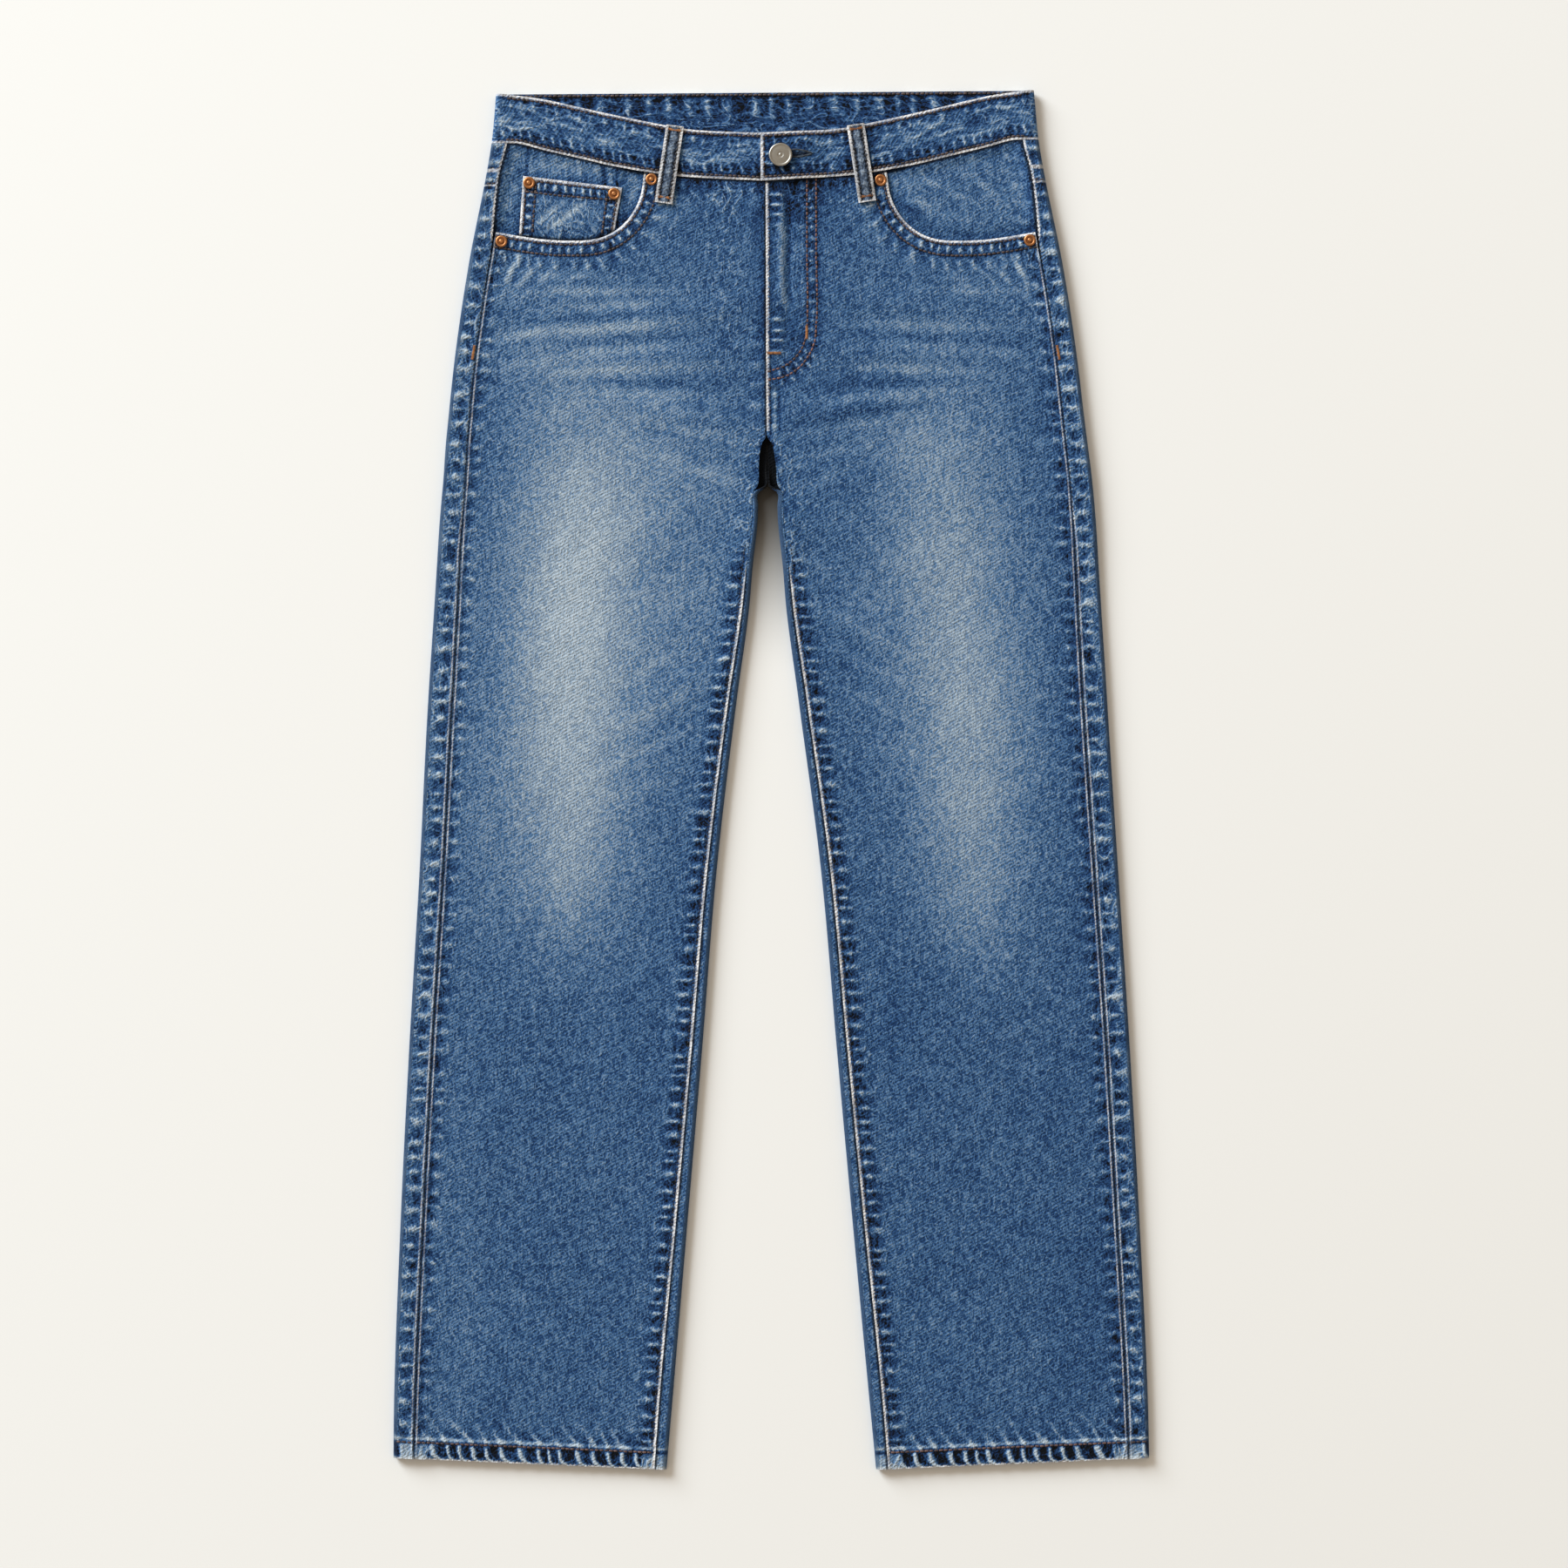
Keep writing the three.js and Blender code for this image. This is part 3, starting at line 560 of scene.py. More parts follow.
print("materials")
denim = washedDenim("washedDenim", denimLook)
loopDenim = washedDenim("loopDenim", loopLook)
brownThread = sewingThread("brownThread", "#584640", "#271F20")
tackThread = sewingThread("tackThread", "#B0743C", "#7A4822")
paleThread = sewingThread("paleThread", "#46525F", "#161D28")
copperPlate = platedMetal("copperPlate", "#D5935F", "#38190D", 0.34)
nickelPlate = platedMetal("nickelPlate", "#B4AFA6", "#35322E", 0.34)

# The wash: where the front is faded and creased. x, height, turn, reach along, reach across, amount.
fadeRows = [
    (-152, 560, 90, 150, 56, 0.40), (-138, 710, 90, 115, 58, 0.31), (-150, 445, 90, 60, 32, 0.12),
    (-146, 815, 90, 60, 62, 0.05), (153, 545, 90, 128, 52, 0.34), (132, 705, 90, 110, 52, 0.26),
    (156, 432, 90, 60, 32, 0.12), (-140, 868, 0, 80, 46, 0.06), (131, 850, 0, 70, 46, 0.03),
    (-40, 700, 60, 90, 30, 0.05), (45, 700, -60, 90, 30, 0.03), (-232, 640, 88, 150, 12, 0.10),
    (-55, 625, 80, 75, 30, 0.11),
    (232, 600, 92, 210, 14, -0.05), (-82, 745, 90, 48, 34, 0.10), (-40, 765, 0, 40, 30, 0.07),
    (-214, 480, 90, 75, 26, 0.08), (-236, 200, 90, 260, 14, 0.06), (-258, 150, 90, 150, 16, 0.05),
    (128, 780, 0, 56, 26, 0.07), (-92, 860, 90, 50, 24, 0.04), (20, 956, 0, 90, 17, -0.09),
    (-120, 900, 0, 50, 22, -0.05),
    (240, 120, 90, 130, 50, -0.04), (120, 370, 90, 90, 50, -0.04), (40, 790, 90, 60, 34, -0.05),
    (202, 815, 90, 40, 22, -0.06), (-150, 350, 0, 90, 60, -0.03),
]
whiskerRows = [
    (-133, 893, 1, 56, 3.6, 0.16), (-118, 882, 3, 40, 3.2, 0.12), (-116, 866, 4, 62, 4.0, 0.15),
    (-108, 849, 4, 50, 3.6, 0.08), (-98, 834, 2, 64, 4.0, 0.12), (-74, 814, -4, 50, 4.0, 0.10),
    (-60, 801, -8, 36, 3.6, 0.08), (-47, 786, -12, 34, 4.0, 0.10), (-52, 757, -20, 36, 4.0, 0.09),
    (-124, 874, 3, 52, 3.4, -0.09), (-104, 857, 4, 54, 3.4, -0.08), (-92, 824, 0, 56, 4.0, -0.09),
    (-150, 905, -3, 34, 3.0, 0.10), (-186, 860, 10, 22, 3.4, 0.10), (-180, 838, 8, 26, 3.4, 0.08),
    (150, 894, -3, 46, 3.4, 0.08), (124, 867, -2, 54, 3.8, 0.12), (134, 850, -4, 44, 3.6, 0.07),
    (112, 834, -3, 60, 4.0, 0.12), (88, 814, 4, 54, 4.0, 0.11), (66, 791, 10, 44, 4.0, 0.10),
    (50, 772, 15, 34, 4.0, 0.07), (44, 752, 22, 34, 4.0, 0.08), (118, 858, -3, 52, 3.4, -0.08),
    (98, 824, 1, 54, 4.0, -0.09), (76, 802, 7, 44, 3.6, -0.08), (182, 846, -10, 24, 3.4, 0.07),
    (-80, 579, 27, 30, 3.4, 0.08), (-88, 548, 24, 28, 3.4, 0.07), (-84, 612, 30, 26, 3.4, 0.06),
    (-96, 516, 20, 24, 3.4, 0.05), (66, 640, -30, 40, 3.4, 0.08), (72, 612, -28, 34, 3.4, 0.07),
    (60, 668, -32, 34, 3.4, 0.06), (84, 580, -24, 30, 3.4, 0.06), (92, 545, -20, 26, 3.4, 0.05),
]


# Wash of the front at each place: the faded thighs and knees, the whiskers and slow patches.
def frontWash(side, x, h):
    gx = side * x
    base = 0.420 + 0.02 * ease(620, 800, h)
    return (base + streaks(fadeRows, gx, h) + 1.6 * streaks(whiskerRows, gx, h)
            + 0.02 * clouds(gx, h * 0.6, 34, 5) + 0.015 * clouds(gx, h, 90, 8))


# Hem band: pale slanted ropes of one pitch over dark hollows, with streaks that run out above the stitching,
# and a painted shade in the groove of the stitching.
# gx is the distance across the whole garment, above the height over the hem edge, toSeam to the nearest seam.
def hemRopes(gx, above, toSeam, seed):
    lean = 0.12 * above - 4.4 * np.exp(-np.maximum(above, 0) / 1.9)
    rope = gatherPhase(gx + 1.0 * wander(gx, 61, seed), 11.2, seed) + lean / 11.2
    streak = gatherPhase(gx + 1.5 * wander(gx, 43, seed), 13.7, seed + 5) + 0.75 * above / 13.7
    inBand = 1 - ease(10.6, 12.2, above)
    over = ease(13.0, 14.6, above) * np.exp(-np.maximum(above - 15, 0) / (8 + 4 * wander(gx, 27, seed)))
    patchNear = 1 - ease(8.5, 12.5, toSeam)
    relief = 0.45 * ridges(rope) * inBand + 0.3 * ridges(streak) * over - 0.35 * bell(above - 12.6, 1.1)
    wash = -0.14 * inBand * (1 - patchNear) + 0.26 * inBand * patchNear - 0.03 * over
    wash = wash + (0.55 + 0.2 * wander(gx, 29, seed + 3)) * bell(above - 15.4, 1.3)
    # painted shade in the groove of the hem stitching; a pale rubbed line at the hem's fold
    wash = wash - 0.40 * bell(above - 12.6, 1.9) + 0.35 * bell(above - 1.3, 1.2)
    gathers = strongest((rope, 1.25 * inBand * (1 - patchNear)), (streak, 0.75 * over * ease(3, 12, toSeam)))
    return relief, wash, gathers


frontPiece = {"innerStretch": 41.0, "innerFine": 1.3, "outerStretch": 17.0, "outerFine": 1.15, "coarse": 2.6,
              "rowStep": 2.8, "hemStep": 1.25, "upperRows": 56, "waistShare": 0.36, "lastLevel": 892.0}


# Relief, wash with painted shade, and gathers of a front panel: seams, pocket mouth band, fly, hem and soft
# undulation.
def frontSurface(side, x, h):
    seed = 3 if side < 0 else 11
    gx = side * x
    above = h - hemRow(x)
    toOut = outerSeam(h) - x
    leg = 1 - ease(672, 708, h)
    toIn = np.where(h < 784, x - inseam(h), 60.0)
    toWaist = frontSeam(x) + tilt(side, x) - h
    mouth, mouthRun = nearLine(mouthRows, x, h)
    relief = 0.22 * clouds(gx, h, 60, 21) + 0.12 * clouds(gx, h, 24, 22)
    hemRelief, hemWashAndShade, hemGathers = hemRopes(gx, above, np.minimum(toOut, toIn), seed)
    relief = relief * ease(0, 12, toOut) + hemRelief
    wash = frontWash(side, x, h) + hemWashAndShade
    free = ease(15, 19, above)
    # outseam: a low felled ridge with its pale line, shallow puckers on the panel side,
    # painted shade in the trough beside the ridge and darker cloth along it
    outWave = gatherPhase(h, 13.2, seed + 1)
    relief = relief + 0.28 * bell(toOut - 2.0, 1.3) - 0.2 * bell(toOut - 4.8, 2.0)
    relief = relief + 0.18 * ridges(outWave) * bell(toOut - 6, 4)
    wash = wash - free * (0.13 * bell(toOut - 4, 2.6) + 0.06 * bell(toOut, 16))
    # inseam: squares of dark cloth between pale gathers on the panel side, painted shade in the groove of its
    # stitching
    inWave = gatherPhase(h + 1.5 * wander(h, 37, seed), 10.6, seed + 4)
    inWidth = bell(toIn - 8.0, 5.0)
    relief = relief + (0.34 * ridges(inWave) * inWidth - 0.2 * bell(toIn - 3.4, 1.2)) * leg
    wash = wash - free * (0.13 * bell(toIn - 7, 6.5) + 0.22 * bell(toIn - 3.6, 1.4)) * leg
    # painted shade along the inner edge towards the crotch
    wash = wash - 0.16 * bell(toIn, 5) * ease(730, 750, h)
    # under the waist seam: puckers, and a painted shade below the band
    waistWave = gatherPhase(gx, 9.2, seed + 6)
    relief = relief + 0.25 * ridges(waistWave) * bell(toWaist - 7, 6) - 0.25 * bell(toWaist - 0.8, 1.6)
    wash = wash - 0.22 * bell(toWaist, 11) * ease(20, 60, x) - 0.18 * bell(toWaist, 9)
    # pocket mouth: a doubled band 11 mm wide between two rows of stitching, beads of cloth between them,
    # painted shade in the grooves of both rows
    bead = gatherPhase(mouthRun, 7.3, seed + 8)
    relief = relief + 0.35 * (1 - ease(10.6, 12.0, mouth)) + 0.30 * ridges(bead) * bell(mouth - 6.9, 2.8)
    relief = relief - 0.22 * bell(mouth - 3.2, 0.9) - 0.28 * bell(mouth - 11.2, 1.0)
    wash = wash - 0.32 * bell(mouth - 3.1, 1.6) - 0.32 * bell(mouth - 11.3, 1.8) - 0.03 * bell(mouth - 7, 4)
    outside = ease(12.5, 15, mouth)
    pull = gatherPhase(mouthRun + 1.5 * wander(mouth, 17, seed), 9.7, seed + 9)
    relief = relief + 0.18 * ridges(pull) * bell(mouth - 18, 6) * outside
    pulls = streaks(pullRows, x, h) * outside
    relief, wash, flyGathers = addFly(side, x, h, relief + 0.3 * pulls, wash + 0.34 * pulls)
    gathers = strongest(hemGathers, flyGathers, (outWave, 0.45 * bell(toOut - 7, 4.5) * free),
                        (inWave, 0.72 * inWidth * leg * free), (waistWave, 0.25 * bell(toWaist - 7, 6)),
                        (bead, 0.75 * bell(mouth - 7.0, 2.6)), (pull, 0.4 * bell(mouth - 18, 6) * outside))
    relief = relief - 0.5 * bell(mouth, 0.9) - 0.35 * bell(above, 1.0)
    return relief, wash, gathers, (mouth, toOut, toIn, toWaist, above)


# Pulls in the cloth below the ends of the pocket mouth: x, height, turn, reach along, reach across, amount.
pullRows = [
    (76, 952, -68, 15, 1.7, 0.9), (84, 944, -78, 18, 1.6, 0.6), (68, 946, -52, 14, 1.7, 0.6),
    (190, 914, -58, 16, 1.9, 1.0), (180, 906, -50, 17, 2.0, 0.9), (168, 904, -44, 17, 1.9, 0.6),
    (196, 900, -70, 18, 2.0, 0.7), (150, 900, -38, 16, 2.0, 0.4), (60, 962, -40, 12, 1.6, 0.6),
    (40, 962, -62, 12, 1.6, 0.5), (22, 958, -70, 12, 1.6, 0.4),
]


flyShape = {
    "innerRow": [(31.5, 978.5), (31.3, 925), (31.2, 868), (30.0, 857), (25.5, 847), (15.3, 837.4),
                 (0.8, 832.3)],
    "outerRow": [(38.4, 979.5), (38.3, 925), (38.1, 866), (35.6, 851), (27, 837.5), (15, 829), (0.8, 826.0)],
    "ridge": 12.2,
    "ridgeTop": 948.0,
    "ridgeFoot": 884.0,
}


# Fly: a ridge where the facing ends, a shadow beside it, dug in the relief and painted as well, short puckers
# on the edge, a pressed J between its rows, and painted shade in the grooves of the rows.
def addFly(side, x, h, relief, wash):
    inFly = ease(836, 858, h) * (1 - ease(974, 980, h))
    if side < 0:
        upper = ease(775, 800, h)
        # painted shadow beside the edge of the left front, which lies over this panel
        shade = -0.05 * bell(x, 9) * ease(840, 870, h) - 0.10 * bell(x, 7) * upper
        shade = shade - 0.10 * bell(x, 4.5) * ease(835, 850, h) * (1 - ease(900, 930, h))
        pull = gatherPhase(h, 15.5, 31)
        near = bell(x - 8, 5) * upper * (1 - ease(850, 890, h))
        return relief + 0.14 * ridges(pull) * near, wash + shade, (pull, 0.3 * near)
    inner = nearLine(flyShape["innerRow"], x, h)[0]
    outer, outerRun = nearLine(flyShape["outerRow"], x, h)
    edgeWave = gatherPhase(h, 9.5, 33)
    foot = flyShape["ridgeFoot"]
    bend = 9 * np.clip((foot + 12 - h) / 30, 0, 1) ** 2
    at = flyShape["ridge"] + bend
    onRidge = ease(foot - 12, foot + 10, h) * (1 - 0.6 * ease(flyShape["ridgeTop"], 975, h))
    below = (1 - ease(816, 826, h)) * ease(782, 790, h)
    relief = relief + 0.65 * bell(x - at, 2.8) * onRidge - 0.6 * bell(x - at - 5.6, 2.4) * onRidge
    relief = relief + 0.22 * ridges(edgeWave) * bell(x - 7, 4.0) * inFly
    relief = relief - 0.3 * bell(inner, 1.1) - 0.3 * bell(outer, 1.1)
    # a rubbed pale ridge and a painted shadow beside it; below, painted shade in the grooves of the rows and
    # along the edge
    wash = wash + 0.27 * bell(x - at - 0.2, 2.9) * onRidge - 0.19 * bell(x - at - 5.4, 2.2) * onRidge
    wash = wash - 0.22 * bell(x - at - 9, 6) * ease(925, 955, h) * inFly - 0.16 * bell(x - 3.6, 1.5)
    ends = ease(935, 955, h) + (1 - ease(868, 890, h)) * ease(838, 850, h)
    wash = wash - 0.05 * bell(x - 7, 5) * inFly - 0.20 * bell(x - 19, 7) * bell(h - 866, 17)
    ribs = np.cos(2 * math.pi * x / 3.4) * ease(19, 21, x) * (1 - ease(28, 30, x)) * ease(884, 900, h)
    wash = wash + 0.10 * ribs * (1 - ease(935, 955, h)) - 0.30 * (bell(inner, 1.8) + bell(outer, 1.8))
    wash = wash - 0.08 * bell(outer - 3.6, 3)
    # the seam below the fly: a pale cord beside its edge, painted shade in the grooves on both sides of it
    wash = wash + (0.26 * bell(x - 6.2, 2.4) - 0.26 * bell(x - 2.9, 1.4) - 0.34 * bell(x - 9.6, 1.3)) * below
    relief = relief - 0.35 * bell(x - 9.6, 1.4) * below
    between = gatherPhase(outerRun, 7.8, 35)
    gathers = strongest((edgeWave, 0.9 * bell(x - 8.5, 4.5) * ends * inFly),
                        (gatherPhase(h, 8.5, 39), 0.4 * bell(x - 6.2, 2.6) * below),
                        (between, 0.55 * bell(outer - 3.6, 2.2) * (1 - ease(0, 3, x - 38))))
    return relief, wash, gathers


# Grid of a front panel: level rows up the leg, then rows that spread to the pocket mouth and waist.
def frontPlan(side):
    width = 206.0
    shares = graded((frontPiece["innerStretch"], frontPiece["innerFine"]),
                    (width - frontPiece["outerStretch"], frontPiece["coarse"]),
                    (width, frontPiece["outerFine"]))
    hem = np.arange(0, 24, frontPiece["hemStep"])
    levels = np.concatenate([hem,
                             np.linspace(24, frontPiece["lastLevel"], round(868 / frontPiece["rowStep"]))])

    def row(level):
        inner = inseam(level) + np.where(level < 784, gap / 2, 0)
        return mix(inner, outerSeam(level) - gap / 2, shares[None, :])
    levelGrid = levels[:, None] + 0 * shares[None, :]
    guess = row(levelGrid)
    h = levelGrid + hemRow(guess) * (1 - levelGrid / 939)
    x = row(h)
    cut = frontPiece["waistShare"]
    waistX = mix(gap / 2, mouthRows[0, 0], np.clip(shares / cut, 0, 1))
    top = together(waistX, frontSeam(waistX) + tilt(side, waistX) - gap)
    line = alongLine(mouthRows, 200)
    along = np.clip((shares - cut) / (1 - cut), 0, 1) * 199
    onMouth = shares > cut
    for k in (0, 1):
        top[onMouth, k] = np.interp(along[onMouth], np.arange(200), line[:, k])
    t = np.linspace(0, 1, frontPiece["upperRows"] + 1)[1:, None]
    x = np.concatenate([x, mix(x[-1:], top[None, :, 0], t)])
    h = np.concatenate([h, mix(h[-1:], top[None, :, 1], t)])
    return x, h


# Front panel, with the distances to its pale edges and to the band above it, along which a painted shade line
# is drawn.
def makeFront(side, name, node):
    x, h = frontPlan(side)
    relief, wash, gathers, (mouth, toOut, toIn, toWaist, above) = frontSurface(side, x, h)
    outer = place(side, x, h, panelZ(side, x, h) + relief)
    edge = np.minimum(mouth * 0.9, np.maximum(toIn, 0) * 0.85 + 3 * ease(665, 705, h))
    edge = np.minimum(edge, above * 0.9 + 0.8)
    shade = np.maximum(toWaist, 0) + 0.1
    if side > 0:
        edge = np.minimum(edge, np.where(h > 786, x * 0.8, 60))
    else:
        # a painted shade line along the left front's fly edge, which covers this panel
        shade = np.minimum(shade, np.where(h > 778, x + 0.3, 60))
    crinkle = 0.35 * bell(toOut, 14) + 0.45 * bell(toIn, 16) + 0.3 * bell(toWaist, 24) + 0.5 * bell(above, 22)
    crinkle = crinkle + 0.35 * bell(mouth, 16) + 0.3 * bell(x - 30, 14) * ease(820, 850, h)
    return clothPiece(name, outer, wash, edge, together(side * x, h), denim, [node], flip=side < 0,
                      twin=np.maximum(toOut, 0), shade=shade,
                      crinkle=np.clip(crinkle, 0, 0.9), gathers=gathers)


backPiece = {"innerLip": 8, "innerFold": 9, "floor": 15, "outerFold": 10, "outerLip": 19, "rowStep": 2.6}


# How far the inner fold drops to the front's level near the crotch: a smooth step along the leg,
# more round the turn.
def foldSink(a, h):
    return garment["crotchSink"] * ease(705, 742, h) * (1 - np.cos(a)) / 2


# Path of the back round one height: inner lip, inner fold, layer on the surface, outer fold, outer lip.
def backPath(side, zone, t, h):
    r = garment["foldRadius"]
    low, turn = lift(h), curl(h)
    floorStart = halfGap(h) + r * np.sin(np.minimum(turn, math.pi / 2))
    floorStart = floorStart + garment["lipEnd"] * np.maximum(0, np.cos(turn))
    floorEnd = halfWidth(h) - r
    if zone == "floor":
        return mix(floorStart, floorEnd, t), low + 0 * t
    if zone == "innerFold":
        a = t * turn
        return floorStart - r * np.sin(a), low + r * (1 - np.cos(a)) - foldSink(a, h)
    if zone == "outerFold":
        a = t * math.pi
        return floorEnd + r * np.sin(a), low + r * (1 - np.cos(a))
    if zone == "outerLip":
        x = mix(floorEnd, outerSeam(h) + gap / 2, t)
        return x, topZ(side, x, h)
    folded = ease(2.9, math.pi, turn)
    length = mix(garment["lipEnd"], inseam(h) - gap / 2 - floorStart, folded) * (1 - t)
    x = floorStart - r * np.sin(turn) - length * np.cos(turn)
    straight = low + r * (1 - np.cos(turn)) + length * np.sin(turn) - foldSink(turn, h)
    return x, mix(straight, topZ(side, x, h), folded)


backZones = [("innerLip", np.linspace(0, 1, backPiece["innerLip"])[:-1]),
             ("innerFold", np.linspace(1, 0, backPiece["innerFold"])),
             ("floor", np.linspace(0, 1, backPiece["floor"])[1:-1]),
             ("outerFold", np.linspace(0, 1, backPiece["outerFold"])),
             ("outerLip", np.linspace(0, 1, backPiece["outerLip"])[1:])]


# The back between a lower and an upper edge. Lips carry seam relief; the layer on the surface stays flat.
def backGrid(side, shares, lowEdge, highEdge):
    columns = []
    for zone, ts in backZones:
        for t in ts:
            guess = backPath(side, zone, t, mix(lowEdge(0.0), highEdge(0.0), shares))[0]
            h = mix(lowEdge(guess), highEdge(guess), shares)
            x, z = backPath(side, zone, t + 0 * h, h)
            top = 1.0 if "Lip" in zone else (math.sin(max(0.0, t - 0.5) * math.pi) if "Fold" in zone else 0.0)
            columns.append((x, h, z, top + 0 * h, (1.0 if zone.startswith("outer") else 0.0) + 0 * h))
    x, h, z, top, outerSide = (np.stack([c[k] for c in columns], -1) for k in range(5))
    return x, h, z, top, outerSide


# Relief, wash with painted shade, and gathers of the back, strongest on the strips that show on the front.
def backSurface(side, x, h, top, outerSide):
    seed = 41 if side < 0 else 47
    gx = side * x
    toSeam = np.where(outerSide > 0, x - outerSeam(h), inseam(h) - x)
    toSeam = np.where(top > 0, np.maximum(toSeam, 0), 60)
    above = h - hemRow(x)
    free = ease(15, 19, above)
    wave = gatherPhase(h + 2 * wander(h, 53, seed), 13.2, seed)
    waveWeight = bell(toSeam - 7.5, 4.4) * outerSide * top * free
    hemRelief, hemWashAndShade, hemGathers = hemRopes(gx, above, toSeam, seed)
    relief = 0.35 * bell(toSeam - 2.0,
                         1.3) * outerSide * top + 0.40 * ridges(wave) * waveWeight + hemRelief * 0.7 * top
    wash = 0.45 + 0.05 * (side < 0) * top * outerSide + 0.04 * ease(620, 800, h) + 0.02 * clouds(gx, h, 40, 6)
    # painted shade in the trough beside the outseam
    wash = wash - 0.12 * bell(toSeam - 5.0, 3.4) * outerSide * top * free
    wash = wash + 0.09 * clouds(gx * 1.6, h * 0.5, 17, 13) * top * outerSide + hemWashAndShade * top
    level = h - tilt(side, x)
    # painted shade lines beside the seam folds of the yoke, with a paler band between them
    lines = bell(level - 988.0, 1.1) + bell(level - 976.4, 1.0) + bell(level - 973.0, 1.1)
    wash = wash + top * outerSide * (0.10 * bell(level - 981.5, 3.0) - 0.30 * lines)
    # painted deep shade on the inner lips at the crotch, where the legs meet
    wash = wash - 1.6 * (1 - outerSide) * ease(742.5, 746.5, h) * (1 - ease(795, 800, h))
    gathers = strongest((hemGathers[0], hemGathers[1] * top), (wave, 0.7 * waveWeight))
    return relief, wash, gathers, toSeam


backBand = {"top": 1044.2, "height": 37.6, "yokeCentre": 939.0, "yokeSide": 979.0, "yokeReach": 211.0}


# Height of the yoke seam: a straight line from the centre to the side.
def yokeSeam(x):
    return mix(backBand["yokeCentre"], backBand["yokeSide"],
               np.minimum(1, np.asarray(x) / backBand["yokeReach"]))


seatRows = [(110, 860, 0, 70, 60, 0.14), (160, 560, 90, 120, 50, 0.1)]  # faded seat and back of the thigh


# A back panel or a yoke between two heights.
def makeBack(side, name, node, lowEdge, highEdge, rows, edgeRows):
    steps = round(rows)
    shares = np.linspace(0, 1, steps)
    if edgeRows:
        shares = np.concatenate([np.linspace(0, 0.024, 16)[:-1], np.linspace(0.024, 0.97, steps)[:-1],
                                 np.linspace(0.97, 1, 28)])
    x, h, z, top, outerSide = backGrid(side, shares, lowEdge, highEdge)
    relief, wash, gathers, toSeam = backSurface(side, x, h, top, outerSide)
    outer = place(side, x, h, z + relief)
    wash = wash + np.where(top > 0.5, 0, streaks(seatRows, x, h))
    level = h - tilt(side, x)
    yokeLines = np.minimum(np.abs(level - 986.1) + 0.2, np.abs(level - 974.8) * 1.6 + 0.6)
    besideFacing = np.where(outerSide > 0, toSeam * 0.85 + 0.1 + 3 * (1 - ease(926, 936, h)), 60)
    hemLine = (h - hemRow(x)) * 0.9 + 0.8
    edge = np.where(top > 0, np.minimum(np.minimum(yokeLines, besideFacing), hemLine), 60)
    twin = np.where((top > 0) & (outerSide > 0), toSeam, 60)
    twin = twin + 3 * ease(690, 760, h)
    # a painted shade line along the inseam on the inner lips
    shade = np.where((top > 0) & (outerSide < 1), toSeam + 3 * ease(665, 705, h), 60)
    return clothPiece(name, outer, wash, edge, together(side * x + 400 * (1 - top), h), denim, [node],
                      flip=side > 0, twin=twin, shade=shade, crinkle=0.4 * top * outerSide + 0.05,
                      gathers=gathers,
                      # the inner face is painted deep shade at the crotch
                      innerTone=0.3 - 1.6 * ease(738, 743, h) * (1 - ease(786, 796, h)) * (x < 16))


sides = (("right", -1), ("left", 1))


# Both back panels and both yokes.
def makeBacks():
    for name, side in sides:
        makeBack(side, f"backPanel.{name}", f"back_panel_{name}", hemRow,
                 lambda x: yokeSeam(x) - gap / 2, 940 / backPiece["rowStep"], True)
        makeBack(side, f"backYoke.{name}", f"back_yoke_{name}", lambda x: yokeSeam(x)
                 + gap / 2,
                 lambda x, s=side: backBand["top"] - backBand["height"] + tilt(s, x) - gap / 2, 30, False)


print("front and back panels")
makeFront(-1, "frontPanel.right", "front_panel_right")
makeFront(1, "frontPanel.left", "front_panel_left")
makeBacks()

bandShape = {"z": 6.9, "overlap": 3.6, "underlap": 22.0, "ease": 26.0, "foldRadius": 3.0, "middle": 1025.0,
             "frontEnd": 200.0, "lastColumn": 192.2, "thickness": 2.3, "rows": 30, "fullThickness": 2.4}


# Where the front of the band turns into its fold.
def bandEnd(h):
    return halfWidth(h) - bandShape["foldRadius"]


# Outer face of the band: level, a crown at the side, one thickness more over the button end.
def bandZ(side, x):
    rise = garment["hipLift"] + 2 * bandShape["foldRadius"] - bandShape["z"]
    crown = rise * bell(bandEnd(bandShape["middle"]) - x, garment["crownReach"])
    over = 1 - ease(bandShape["underlap"] + 2, bandShape["underlap"] + 2 + bandShape["ease"], x)
    return bandShape["z"] + crown + ((bandShape["fullThickness"] + gap) * over if side > 0 else 0)


